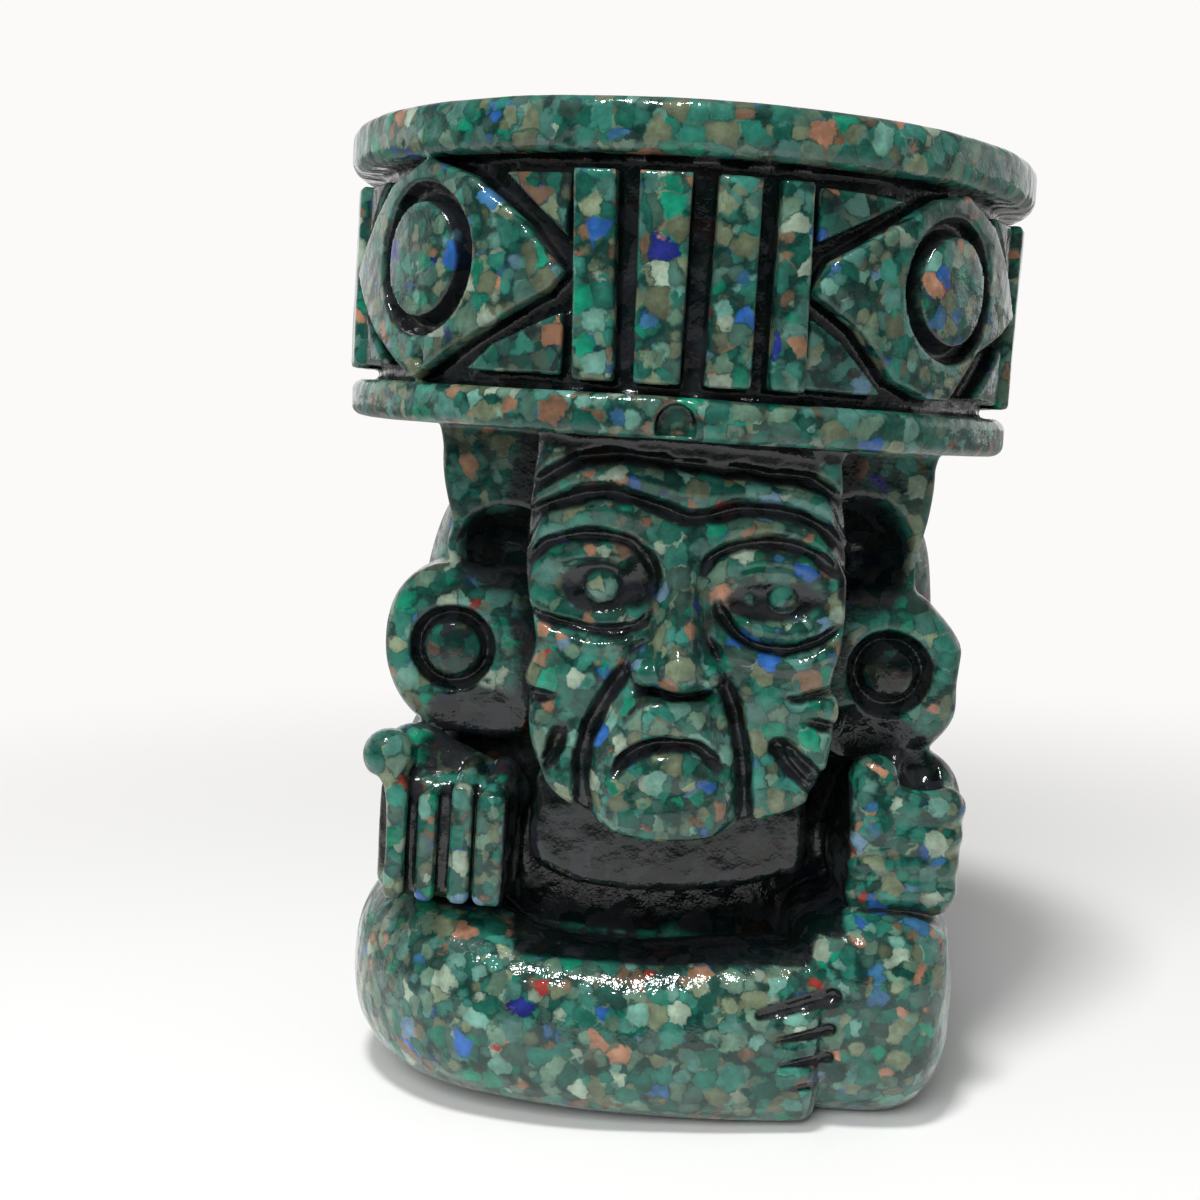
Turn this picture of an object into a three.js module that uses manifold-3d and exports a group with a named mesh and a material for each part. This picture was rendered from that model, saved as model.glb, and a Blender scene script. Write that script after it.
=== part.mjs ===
// Seated old fire god carrying a round brazier on the head.
// One small casting of crushed green and blue stone set in dark resin.
//
// Units are millimetres. The figure is modelled upright on its own axis: +X is the viewer's right,
// the face looks along -Y and +Z is up. The casting leans a little to +X on its ground underside,
// so every solid is leaned by one matrix and the underside is then cut flat at z = 0.

import * as THREE from 'three';
import { LoftGeometry } from 'three/addons/geometries/LoftGeometry.js';
import { mergeVertices } from 'three/addons/utils/BufferGeometryUtils.js';
import Module from 'manifold-3d';

const wasm = await Module();
wasm.setup();

const radians = THREE.MathUtils.degToRad;

// Whole figure
const LEAN = radians(3.7);
const ORIGIN = { x: 1.2, y: 1.6 };
const GROUND_DEPTH = 8;
const WORLD_SPAN = 90;

// Brazier: radii and heights on the figure's own axis
const BRAZIER = {
  x: -1.5,
  top: 75,
  rimRadius: 27.8,
  rimBottom: 71.3,
  footRadius: 27.0,
  footTop: 55.2,
  footBottom: 52.3,
  wallRadius: 25.0,
  padRadius: 27.1,
  edge: 0.9,
  segments: 48,
};
const BOWL = { mouthRadius: 22.6, floorRadius: 20.6, floorCorner: 2.4, depth: 9.0 };

// Bars stand in four groups; each bar has its own middle and width in degrees
const BARS = {
  groups: [0, 90, 180, 270],
  middles: [-13.6, -3.5, 7.1, 15.9],
  widths: [6.4, 7.4, 6.7, 5.3],
  bottom: 56.1,
  top: 70.1,
};

// Eye panels lie between the bar groups
const PANEL = {
  groups: [45, 135, 225, 315],
  middleHeight: 63.4,
  halfAngle: radians(26.6),
  rhombusHalfHeight: 8.4,
  gap: 1.5,
  cornerInset: 1.0,
  bossRadius: 4.5,
  ringRadius: 5.8,
  bossLift: 0.4,
  ringSink: 0.6,
  segments: 32,
};
const NOTCH = { radius: 1.35, height: 52.9, depth: 1.2 };

// Head block
const FACE = {
  left: -11.4,
  right: 11.5,
  top: 53.5,
  jaw: 32,
  chin: 23.1,
  chinHalf: 5.6,
  front: -21.9,
  back: -6,
  bevel: 0.6,
};
const GROOVE = { width: 1.1, depth: 1.0 };
const EYES = {
  x: [-6.3, 6.6],
  z: [41.4, 41.2],
  halfWidth: 4.6,
  halfHeight: 3.1,
  depth: 1.2,
  ballWidth: 3.7,
  ballHeight: 2.0,
  irisRadius: 1.1,
  irisRise: 0.5,
};
const NOSE = {
  sides: 10,
  root: 1.5,
  outlines: [
    { z: 34.3, half: 2.2, rise: 2.6 },
    { z: 35.2, half: 2.7, rise: 3.4 },
    { z: 37.2, half: 1.9, rise: 3.2 },
    { z: 40.1, half: 1.2, rise: 2.0 },
    { z: 45.0, half: 0.95, rise: 0.5 },
  ],
};
const MUZZLE = {
  top: 34.4,
  topHalf: 3.0,
  middle: 28.6,
  half: 6.0,
  bottom: 23.2,
  bottomHalf: 4.4,
  corner: 0.7,
  rise: 1.9,
  root: 2,
  bevel: 1.4,
};

// Headcloth sides and ear discs
const CLOTH = {
  inner: 10.5,
  top: 53.5,
  bottom: 40.2,
  front: -12.4,
  back: -4,
  outer: 18.8,
  waist: 18.0,
  bevel: 0.55,
  hollow: { inset: 2.6, rise: 3.4, halfWidth: 3.4, depth: 4, halfHeight: 4.6 },
};
const EARS = [
  { x: -17.9, z: 34.2, halfWidth: 5.8, halfHeight: 6.8, ring: 3.5, boss: 2.35 },
  { x: 16.9, z: 34.7, halfWidth: 5.6, halfHeight: 6.7, ring: 3.6, boss: 2.2 },
];
const EAR = {
  front: -13.2,
  back: -5.5,
  grooveDepth: 1.7,
  bevel: 1.1,
  bossRise: 0.3,
  bossDepth: 1.2,
  web: { inner: 10, front: -12.2, share: 0.7 },
};

// Trunk outline at rising heights
const TRUNK = {
  power: 2.6,
  sides: 22,
  outlines: [
    { z: 6, left: -20.5, right: 20.5, front: -10, back: 18.2 },
    { z: 20, left: -21.4, right: 21.4, front: -9.6, back: 19.2 },
    { z: 32, left: -22.0, right: 21.8, front: -8, back: 19.6 },
    { z: 40, left: -22.2, right: 21.8, front: -7, back: 18.6 },
    { z: 45, left: -20.6, right: 20.6, front: -7.4, back: 16.6 },
    { z: 49, left: -18.0, right: 18.0, front: -9, back: 14.2 },
    { z: 53.5, left: -17.2, right: 17.2, front: -10, back: 12.6 },
  ],
};
const HIPS = {
  power: 3,
  sides: 22,
  outlines: [
    { z: -2, left: -19.0, right: 20.0, front: -12, back: 14.6 },
    { z: 1, left: -21.4, right: 21.8, front: -12, back: 17.2 },
    { z: 5, left: -23.4, right: 23.4, front: -12, back: 19.0 },
    { z: 11, left: -23.6, right: 23.4, front: -10, back: 19.2 },
    { z: 14.5, left: -21.4, right: 21.4, front: -8, back: 18.0 },
  ],
};
const COLLAR = { half: 10.3, top: 25, side: 19.6, sag: 15.6, front: -17.8, back: -8, bevel: 0.8 };

// Legs: the left shin crosses the front and ends in the foot, the right knee stands beside it
const SHIN = {
  power: 2.5,
  sides: 18,
  steps: 12,
  path: [[-14, 6, 6.6], [-18.7, -4.5, 7.6], [-15.3, -11.8, 7.4], [-7.4, -15.0, 6.6],
    [2, -15.7, 6.5], [9, -15.6, 7.1], [12.5, -15.2, 7.5]],
  halfDepths: [6.4, 6.6, 6.5, 6.5, 6.4, 6.2, 5.9],
  halfHeights: [7.4, 7.6, 7.6, 6.5, 6.4, 6.9, 7.1],
};
const RIGHT_KNEE = {
  power: 3.2,
  sides: 20,
  outlines: [
    { z: 0.6, left: 13.0, right: 19.6, front: -14.6, back: 2 },
    { z: 2.4, left: 12.2, right: 21.7, front: -17.9, back: 4 },
    { z: 5, left: 11.9, right: 22.8, front: -20.0, back: 4 },
    { z: 10, left: 11.9, right: 23.2, front: -20.5, back: 4 },
    { z: 14, left: 12.0, right: 22.8, front: -20.2, back: 4 },
    { z: 16.2, left: 12.8, right: 22.0, front: -18.8, back: 3 },
    { z: 17.3, left: 14.6, right: 20.4, front: -16.6, back: 1 },
  ],
};
const TOES = {
  from: 8.2,
  to: 13.4,
  rise: 0.6,
  front: -21.3,
  heights: [10.9, 8.6, 6.3],
  width: 0.8,
  depth: 1.0,
};

// Arms and fists
const FOREARM = {
  power: 2.6,
  sides: 14,
  steps: 4,
  path: [[17.8, -12, 20.5], [18.2, -5, 20.5], [18.2, 4, 24]],
  halfDepths: [4.9, 4.9],
  halfHeights: [5.6, 5.6],
};
const FIST_BEVEL = 1.6;
const LEFT_FIST = {
  block: { left: -22.0, right: -11.3, front: -16.4, back: -7, bottom: 15.0, top: 26.2 },
  fingerMiddles: [-20.7, -18.2, -15.9, -13.7],
  fingerRadii: [0.9, 1.25, 0.9, 1.3],
  bottom: 15.2,
  top: 25.0,
  thumb: { x: -21.3, y: -15.4, z: 26.2, radius: 2.5 },
};
const RIGHT_FIST = {
  block: { left: 13.8, right: 22.8, front: -16.8, back: -7, bottom: 16.8, top: 27.4 },
  fingerHeights: [25.5, 23.0, 20.8, 18.8],
  fingerRadii: [1.3, 1.25, 1.1, 1.1],
  thumb: { x: 15.9, y: -16.0, low: 24.6, high: 27.2, radius: 2.1 },
  hole: { x: 19.2, y: -14.0, radius: 1.9, depth: 3.4 },
};

// Back of the figure: the headcloth hangs down behind
const BACK_CLOTH = { half: 8.5, top: 53.5, bottom: 27, rise: 1.1 };

const lean = new THREE.Matrix4()
  .makeRotationY(LEAN)
  .premultiply(new THREE.Matrix4().makeTranslation(-ORIGIN.x, ORIGIN.y, 0));

// Turns a closed geometry, modelled upright, into a leaned solid
function solid(geometry) {
  geometry.deleteAttribute('normal');
  geometry.deleteAttribute('uv');
  const merged = mergeVertices(geometry).applyMatrix4(lean);
  const index = merged.index.array;
  const kept = [];
  for (let i = 0; i < index.length; i += 3) {
    const [a, b, c] = [index[i], index[i + 1], index[i + 2]];
    if (a !== b && b !== c && c !== a) {
      kept.push(a, b, c);
    }
  }
  return new wasm.Manifold(new wasm.Mesh({
    numProp: 3,
    vertProperties: new Float32Array(merged.attributes.position.array),
    triVerts: new Uint32Array(kept),
  }));
}

function join(solids) {
  return solids.reduce((whole, next) => whole.add(next));
}

// Closed ring of points on a squared ellipse; a higher power is squarer
function squaredRing(middle, sideways, upwards, power, sides) {
  const points = [];
  for (let i = 0; i < sides; i += 1) {
    const angle = (i / sides) * 2 * Math.PI;
    const across = Math.sign(Math.cos(angle)) * Math.abs(Math.cos(angle)) ** (2 / power);
    const along = Math.sign(Math.sin(angle)) * Math.abs(Math.sin(angle)) ** (2 / power);
    points.push(middle.clone().addScaledVector(sideways, across).addScaledVector(upwards, along));
  }
  return points;
}

// Body built up from level outlines
function levels({ outlines, power, sides }) {
  const sections = outlines.map(({ z, left, right, front, back }) => squaredRing(
    new THREE.Vector3((left + right) / 2, (front + back) / 2, z),
    new THREE.Vector3((right - left) / 2, 0, 0),
    new THREE.Vector3(0, (back - front) / 2, 0),
    power,
    sides,
  ));
  return solid(new LoftGeometry(sections, { capStart: true, capEnd: true }));
}

// Reads a list of sizes at a place from 0 to 1 along it
function sizeAt(sizes, place) {
  const spot = place * (sizes.length - 1);
  const low = Math.min(Math.floor(spot), sizes.length - 2);
  return THREE.MathUtils.lerp(sizes[low], sizes[low + 1], spot - low);
}

// Limb swept along a smooth path, with its section upright
function limb({ path, halfDepths, halfHeights, power, sides, steps }) {
  const curve = new THREE.CatmullRomCurve3(path.map((point) => new THREE.Vector3(...point)));
  const sections = [];
  for (let i = 0; i <= steps; i += 1) {
    const place = i / steps;
    const tangent = curve.getTangent(place);
    const side = new THREE.Vector3().crossVectors(tangent, new THREE.Vector3(0, 0, 1)).normalize();
    const rise = new THREE.Vector3().crossVectors(side, tangent).normalize();
    sections.push(squaredRing(
      curve.getPoint(place),
      rise.multiplyScalar(sizeAt(halfHeights, place)),
      side.multiplyScalar(sizeAt(halfDepths, place)),
      power,
      sides,
    ));
  }
  return solid(new LoftGeometry(sections, { capStart: true, capEnd: true }));
}

function ellipsoid(x, y, z, halfX, halfY, halfZ, segments = 12) {
  const geometry = new THREE.SphereGeometry(1, segments, Math.round(segments * 0.6));
  geometry.scale(halfX, halfY, halfZ).translate(x, y, z);
  return solid(geometry);
}

function box(left, right, front, back, bottom, top) {
  const geometry = new THREE.BoxGeometry(right - left, back - front, top - bottom);
  geometry.translate((left + right) / 2, (front + back) / 2, (bottom + top) / 2);
  return solid(geometry);
}

// Slab with a drawn front outline, from its front plane back to its back plane
function slab(shape, front, back, bevel = 0) {
  const geometry = new THREE.ExtrudeGeometry(shape, {
    depth: back - front - bevel,
    bevelEnabled: bevel > 0,
    bevelThickness: bevel,
    bevelSize: bevel,
    bevelOffset: -bevel,
    bevelSegments: 1,
    curveSegments: 6,
  });
  geometry.rotateX(Math.PI / 2).translate(0, back, 0);
  return solid(geometry);
}

// Channel cut along a line that lies in a plane facing the front
function channel(points, plane, width, depth) {
  const curve = new THREE.CatmullRomCurve3(points.map(([x, z]) => new THREE.Vector3(x, plane, z)));
  const steps = 2 * (points.length - 1);
  const sections = [];
  for (let i = 0; i <= steps; i += 1) {
    const place = i / steps;
    const tangent = curve.getTangent(place);
    const side = new THREE.Vector3(tangent.z, 0, -tangent.x).multiplyScalar(width / 2);
    const inwards = new THREE.Vector3(0, depth, 0);
    const middle = curve.getPoint(place);
    sections.push([
      middle.clone().add(side).sub(inwards),
      middle.clone().add(inwards),
      middle.clone().sub(side).sub(inwards),
    ]);
  }
  return solid(new LoftGeometry(sections, { capStart: true, capEnd: true }));
}

// Places a geometry that faces the front at an angle round the brazier's axis
function aroundBrazier(geometry, degrees) {
  return solid(geometry.rotateZ(radians(degrees)).translate(BRAZIER.x, 0, 0));
}

// Solid turned round the brazier's axis from radius and height pairs
function turned(profile) {
  const points = profile.map(([radius, height]) => new THREE.Vector2(radius, height));
  const geometry = new THREE.LatheGeometry(points, BRAZIER.segments);
  geometry.rotateX(Math.PI / 2).translate(BRAZIER.x, 0, 0);
  return solid(geometry);
}

// Body of the brazier with both rims and the sunk wall
function brazierBody() {
  const { top, rimRadius, rimBottom, footRadius, footTop, footBottom, wallRadius, edge } = BRAZIER;
  const profile = [
    [0, footBottom],
    [footRadius - edge, footBottom],
    [footRadius, footBottom + edge],
    [footRadius, footTop],
    [wallRadius, footTop],
    [wallRadius, rimBottom],
    [rimRadius, rimBottom],
    [rimRadius, top - edge],
    [rimRadius - edge, top],
    [0, top],
  ];
  return turned(profile);
}

function bowlHollow() {
  const { mouthRadius, floorRadius, floorCorner, depth } = BOWL;
  const floor = BRAZIER.top - depth;
  return turned([
    [0, floor],
    [floorRadius - floorCorner, floor],
    [floorRadius, floor + floorCorner],
    [mouthRadius, BRAZIER.top],
    [mouthRadius, BRAZIER.top + 1],
    [0, BRAZIER.top + 1],
  ]);
}

function bars() {
  const { bottom, top, groups, middles, widths } = BARS;
  const { padRadius, wallRadius } = BRAZIER;
  const thickness = padRadius - wallRadius + 1;
  const solids = [];
  for (const group of groups) {
    middles.forEach((middle, i) => {
      const width = 2 * padRadius * Math.sin(radians(widths[i] / 2));
      const bar = new THREE.BoxGeometry(width, thickness, top - bottom);
      bar.translate(0, thickness / 2 - padRadius, (bottom + top) / 2);
      solids.push(aroundBrazier(bar, group + middle));
    });
  }
  return join(solids);
}

// Prism with a drawn outline that stands out of the wall, facing the front before it is turned
function panelPrism(points) {
  const shape = new THREE.Shape(points.map(([x, z]) => new THREE.Vector2(x, z)));
  const geometry = new THREE.ExtrudeGeometry(shape, {
    depth: BRAZIER.rimRadius,
    bevelEnabled: false,
  });
  return geometry.rotateX(Math.PI / 2);
}

// Raised diamond and the four corner triangles of each panel, trimmed to the pad radius
function panels() {
  const { middleHeight, halfAngle, rhombusHalfHeight, gap, cornerInset } = PANEL;
  const halfWidth = BRAZIER.padRadius * Math.sin(halfAngle);
  const low = BARS.bottom - middleHeight;
  const high = BARS.top - middleHeight;
  const slope = rhombusHalfHeight / halfWidth;
  const prisms = [];
  for (const group of PANEL.groups) {
    const diamond = [
      [-halfWidth, middleHeight],
      [0, middleHeight - rhombusHalfHeight],
      [halfWidth, middleHeight],
      [0, middleHeight + rhombusHalfHeight],
    ];
    prisms.push(aroundBrazier(panelPrism(diamond), group));
    for (const side of [-1, 1]) {
      for (const edge of [low, high]) {
        const reach = halfWidth - (gap + Math.abs(edge)) / slope;
        const corner = halfWidth - cornerInset;
        const tip = Math.sign(edge) * (gap + cornerInset * slope);
        const outline = [[side * reach, middleHeight + edge], [side * corner, middleHeight + edge],
          [side * corner, middleHeight + tip]];
        prisms.push(aroundBrazier(panelPrism(side * edge > 0 ? outline.reverse() : outline), group));
      }
    }
  }
  const trim = new THREE.CylinderGeometry(
    BRAZIER.padRadius,
    BRAZIER.padRadius,
    BRAZIER.rimBottom - BRAZIER.footTop + 2 * BRAZIER.edge,
    PANEL.segments,
  );
  trim.rotateX(Math.PI / 2).translate(BRAZIER.x, 0, (BRAZIER.rimBottom + BRAZIER.footTop) / 2);
  return join(prisms).intersect(solid(trim));
}

// Ring groove round the disc in the middle of each diamond
function eyeRings() {
  const height = PANEL.middleHeight + PANEL.bossLift;
  return join(PANEL.groups.map((group) => {
    const ring = new THREE.Shape();
    ring.absarc(0, height, PANEL.ringRadius, 0, 2 * Math.PI, false);
    const core = new THREE.Path();
    core.absarc(0, height, PANEL.bossRadius, 0, 2 * Math.PI, true);
    ring.holes.push(core);
    const groove = new THREE.ExtrudeGeometry(ring, {
      depth: BRAZIER.rimRadius,
      bevelEnabled: false,
      curveSegments: 8,
    });
    groove.rotateX(Math.PI / 2).translate(0, -BRAZIER.wallRadius + PANEL.ringSink, 0);
    return aroundBrazier(groove, group);
  }));
}

function brazier() {
  const notch = new THREE.CylinderGeometry(NOTCH.radius, NOTCH.radius, 2 * NOTCH.depth, 10);
  notch.translate(BRAZIER.x, -BRAZIER.footRadius, NOTCH.height);
  return join([brazierBody(), bars(), panels()])
    .subtract(eyeRings())
    .subtract(bowlHollow())
    .subtract(solid(notch));
}

function faceOutline() {
  const { left, right, top, jaw, chin, chinHalf } = FACE;
  const shape = new THREE.Shape();
  shape.moveTo(left, top);
  shape.lineTo(left, jaw);
  shape.quadraticCurveTo(left, chin + 2.2, -chinHalf, chin + 0.8);
  shape.quadraticCurveTo(0, chin - 0.7, chinHalf, chin + 1.0);
  shape.quadraticCurveTo(right, chin + 2.2, right, jaw);
  shape.lineTo(right, top);
  shape.closePath();
  return shape;
}

function nose() {
  const outlines = NOSE.outlines.map(({ z, half, rise }) => ({
    z,
    left: -half,
    right: half,
    front: FACE.front - rise,
    back: FACE.front + NOSE.root,
  }));
  return levels({ outlines, power: 2, sides: NOSE.sides });
}

// Lines carved in the forehead, cheeks and round the mouth, as places on the front plane
function faceLines() {
  const brow = FACE.front;
  const mouth = FACE.front - MUZZLE.rise;
  const { width, depth } = GROOVE;
  return join([
    channel([[-11.2, 48.4], [-8.4, 50.4], [-1, 50.8], [9, 49.6], [11.6, 46.4]], brow, width, depth),
    channel([[-11.8, 44.2], [-10.3, 47.0], [-5.8, 47.9], [0, 46.7], [5.6, 47.6], [10.7, 45.6], [11.8, 43.6]],
      brow, width * 1.2, depth * 1.1),
    channel([[-3.6, 35.6], [-6.0, 31.6], [-6.6, 28.4], [-6.2, 24.2]], brow, width * 1.2, depth * 1.3),
    channel([[3.2, 35.4], [4.6, 31.8], [5.5, 28.2], [5.6, 24.2]], brow, width * 1.3, depth * 1.3),
    channel([[-4.2, 28.0], [-2.6, 29.8], [-0.4, 30.4], [2.0, 29.9], [3.5, 28.4]], mouth, width, depth),
    channel([[-11.8, 32.9], [-8.4, 33.1]], brow, width, depth),
    channel([[7.0, 34.5], [11.8, 34.9]], brow, width, depth),
    channel([[7.0, 31.0], [10.6, 27.4]], brow, width * 1.2, depth),
  ]);
}

// Raised field round the mouth and chin, between the two deep folds
function muzzle() {
  const { top, topHalf, middle, half, bottom, bottomHalf, corner, rise, root, bevel } = MUZZLE;
  const shape = new THREE.Shape();
  shape.moveTo(-topHalf, top);
  shape.quadraticCurveTo(-half, (top + middle) / 2, -half, middle);
  shape.quadraticCurveTo(-half, bottom + 3 * corner, -bottomHalf, bottom + corner);
  shape.quadraticCurveTo(0, bottom - corner, bottomHalf, bottom + corner);
  shape.quadraticCurveTo(half, bottom + 3 * corner, half, middle);
  shape.quadraticCurveTo(half, (top + middle) / 2, topHalf, top);
  shape.closePath();
  return slab(shape, FACE.front - rise, FACE.front + root, bevel);
}

function head() {
  const { depth, halfWidth, halfHeight, ballWidth, ballHeight, irisRadius, irisRise } = EYES;
  const sunk = FACE.front + depth;
  const sockets = [];
  const balls = [];
  EYES.x.forEach((x, i) => {
    const z = EYES.z[i];
    sockets.push(ellipsoid(x, FACE.front - depth, z, halfWidth, 2 * depth, halfHeight));
    balls.push(ellipsoid(x, sunk, z, ballWidth, depth, ballHeight));
    balls.push(ellipsoid(x, sunk - irisRise, z, irisRadius, depth, irisRadius, 8));
  });
  return slab(faceOutline(), FACE.front, FACE.back, FACE.bevel)
    .subtract(join(sockets))
    .add(join(balls))
    .add(muzzle())
    .subtract(faceLines())
    .add(nose());
}

// Hanging headcloth side with a scalloped outer edge; side is -1 for left and 1 for right
function headcloth(side) {
  const { inner, top, bottom, front, back, outer, waist, bevel, hollow } = CLOTH;
  const shape = new THREE.Shape();
  shape.moveTo(side * inner, bottom);
  shape.lineTo(side * waist, bottom);
  shape.quadraticCurveTo(side * (waist + 0.5), bottom + 4, side * (outer - 0.4), bottom + 6.4);
  shape.quadraticCurveTo(side * (outer + 0.6), bottom + 9, side * outer, top);
  shape.lineTo(side * inner, top);
  shape.closePath();
  const scoop = ellipsoid(
    side * (inner + hollow.inset),
    front,
    bottom + hollow.rise,
    hollow.halfWidth,
    hollow.depth,
    hollow.halfHeight,
    10,
  );
  return slab(shape, front, back, bevel).subtract(scoop);
}

function ear({ x, z, halfWidth, halfHeight, ring, boss }) {
  const lobe = new THREE.Shape();
  lobe.absellipse(x, z, halfWidth, halfHeight, 0, 2 * Math.PI, false);
  const groove = new THREE.Shape();
  groove.absarc(x, z, ring, 0, 2 * Math.PI, false);
  const core = new THREE.Path();
  core.absarc(x, z, boss, 0, 2 * Math.PI, true);
  groove.holes.push(core);
  const edge = Math.sign(x) * EAR.web.inner;
  const reach = halfHeight * EAR.web.share;
  const web = box(Math.min(x, edge), Math.max(x, edge), EAR.web.front, EAR.back, z - reach, z + reach);
  const bead = ellipsoid(x, EAR.front + EAR.bossDepth - EAR.bossRise, z, boss, EAR.bossDepth, boss);
  return slab(lobe, EAR.front, EAR.back, EAR.bevel)
    .add(web)
    .subtract(slab(groove, EAR.front - 1, EAR.front + EAR.grooveDepth))
    .add(bead);
}

function collar() {
  const { half, top, side, sag, front, back, bevel } = COLLAR;
  const shape = new THREE.Shape();
  shape.moveTo(-half, top);
  shape.lineTo(-half, side);
  shape.quadraticCurveTo(0, sag, half, side);
  shape.lineTo(half, top);
  shape.closePath();
  return slab(shape, front, back, bevel);
}

function capsule(radius, from, to, segments = 8) {
  const start = new THREE.Vector3(...from);
  const end = new THREE.Vector3(...to);
  const geometry = new THREE.CapsuleGeometry(radius, start.distanceTo(end), 2, segments);
  const turn = new THREE.Quaternion().setFromUnitVectors(
    new THREE.Vector3(0, 1, 0),
    end.clone().sub(start).normalize(),
  );
  geometry.applyQuaternion(turn).translate(...start.add(end).multiplyScalar(0.5).toArray());
  return solid(geometry);
}

function fistBlock({ left, right, front, back, bottom, top }) {
  const shape = new THREE.Shape();
  shape.moveTo(left, bottom);
  shape.lineTo(right, bottom);
  shape.lineTo(right, top);
  shape.lineTo(left, top);
  shape.closePath();
  return slab(shape, front, back, FIST_BEVEL);
}

// The left fist is turned palm up, with its fingers side by side
function leftFist() {
  const { block, fingerMiddles, fingerRadii, bottom, top, thumb } = LEFT_FIST;
  const fingers = fingerMiddles.map((x, i) => {
    const radius = fingerRadii[i];
    return capsule(radius, [x, block.front, bottom + radius], [x, block.front, top - radius]);
  });
  return join([
    fistBlock(block),
    ...fingers,
    ellipsoid(thumb.x, thumb.y, thumb.z, thumb.radius, thumb.radius, thumb.radius, 10),
  ]);
}

// The right fist stands upright, with its fingers stacked and a hollow in its top
function rightFist() {
  const { block, fingerHeights, fingerRadii, thumb, hole } = RIGHT_FIST;
  const fingers = fingerHeights.map((z, i) => {
    const radius = fingerRadii[i];
    return capsule(radius, [block.left + radius, block.front, z], [block.right - radius, block.front, z]);
  });
  const hollow = new THREE.CylinderGeometry(hole.radius, hole.radius, 2 * hole.depth, 12);
  hollow.rotateX(Math.PI / 2).translate(hole.x, hole.y, block.top);
  return join([
    fistBlock(block),
    ...fingers,
    capsule(thumb.radius, [thumb.x, thumb.y, thumb.low], [thumb.x, thumb.y, thumb.high], 10),
  ]).subtract(solid(hollow));
}

function forearm(side) {
  return limb({ ...FOREARM, path: FOREARM.path.map(([x, y, z]) => [side * x, y, z]) });
}

function legs() {
  const { from, to, rise, front, heights, width, depth } = TOES;
  const toes = heights.map((height) => channel(
    [[from, height - rise / 2], [to, height + rise / 2]],
    front,
    width,
    depth,
  ));
  return limb(SHIN).add(levels(RIGHT_KNEE)).subtract(join(toes));
}

function backCloth() {
  const { half, top, bottom, rise } = BACK_CLOTH;
  const outlines = TRUNK.outlines.map((outline) => ({ ...outline, back: outline.back + rise }));
  const deepest = Math.max(...outlines.map(({ back }) => back));
  return box(-half, half, 0, deepest + rise, bottom, top).intersect(levels({ ...TRUNK, outlines }));
}

function fireGodFigure() {
  const whole = join([
    levels(HIPS),
    levels(TRUNK),
    brazier(),
    head(),
    headcloth(-1),
    headcloth(1),
    ...EARS.map(ear),
    collar(),
    forearm(-1),
    forearm(1),
    leftFist(),
    rightFist(),
    legs(),
    backCloth(),
  ]);
  const ground = new THREE.BoxGeometry(WORLD_SPAN, WORLD_SPAN, GROUND_DEPTH);
  ground.translate(0, 0, -GROUND_DEPTH / 2).applyMatrix4(lean.clone().invert());
  return whole.subtract(solid(ground));
}

function toGeometry(manifold) {
  const { vertProperties, triVerts, numProp } = manifold.getMesh();
  const positions = new Float32Array((vertProperties.length / numProp) * 3);
  for (let i = 0; i < positions.length / 3; i += 1) {
    positions.set(vertProperties.subarray(i * numProp, i * numProp + 3), i * 3);
  }
  const geometry = new THREE.BufferGeometry();
  geometry.setAttribute('position', new THREE.BufferAttribute(positions, 3));
  geometry.setIndex(new THREE.BufferAttribute(new Uint32Array(triVerts), 1));
  geometry.computeVertexNormals();
  return geometry;
}

const stone = new THREE.MeshStandardMaterial({ color: 0x2f7466, roughness: 0.22, metalness: 0 });
const figure = new THREE.Mesh(toGeometry(fireGodFigure()), stone);
figure.name = 'fire_god_figure';

const model = new THREE.Group();
model.add(figure);

export default model;
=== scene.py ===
import math

import bpy
import numpy as np
import openvdb
from mathutils import Matrix, Vector


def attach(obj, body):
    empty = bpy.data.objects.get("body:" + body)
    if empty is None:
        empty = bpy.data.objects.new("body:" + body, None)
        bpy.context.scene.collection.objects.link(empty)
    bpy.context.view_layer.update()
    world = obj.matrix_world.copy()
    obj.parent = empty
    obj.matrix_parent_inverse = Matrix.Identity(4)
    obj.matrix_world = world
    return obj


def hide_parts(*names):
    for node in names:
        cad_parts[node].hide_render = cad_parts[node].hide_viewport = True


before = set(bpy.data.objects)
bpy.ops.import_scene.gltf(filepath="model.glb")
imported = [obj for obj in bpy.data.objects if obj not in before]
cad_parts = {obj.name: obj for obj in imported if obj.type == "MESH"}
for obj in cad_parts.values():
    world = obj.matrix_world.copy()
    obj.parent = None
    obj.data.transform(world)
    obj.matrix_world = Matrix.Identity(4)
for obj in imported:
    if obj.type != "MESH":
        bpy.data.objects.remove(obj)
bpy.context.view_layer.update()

# Old fire god with a brazier on the head, cast in crushed stone and dark resin.
# The casting is sculpted upright, in millimetres, on a grid of signed distances that are negative
# inside it. +X is the viewer's right, the face looks along -Y and +Z is up. The finished skin is
# leaned on its ground underside, moved to the frame's origin and turned into metres.

LEAN = math.radians(3.7)
ORIGIN = (-1.2, 1.6)
METRE = 0.001
STEP = 0.25
GRID_LOW = (-31.0, -29.2, -2.6)
GRID_HIGH = (28.6, 29.8, 76.6)
FAR = 40.0
SEED = 11
MOST_TRIANGLES = 196000

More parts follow.
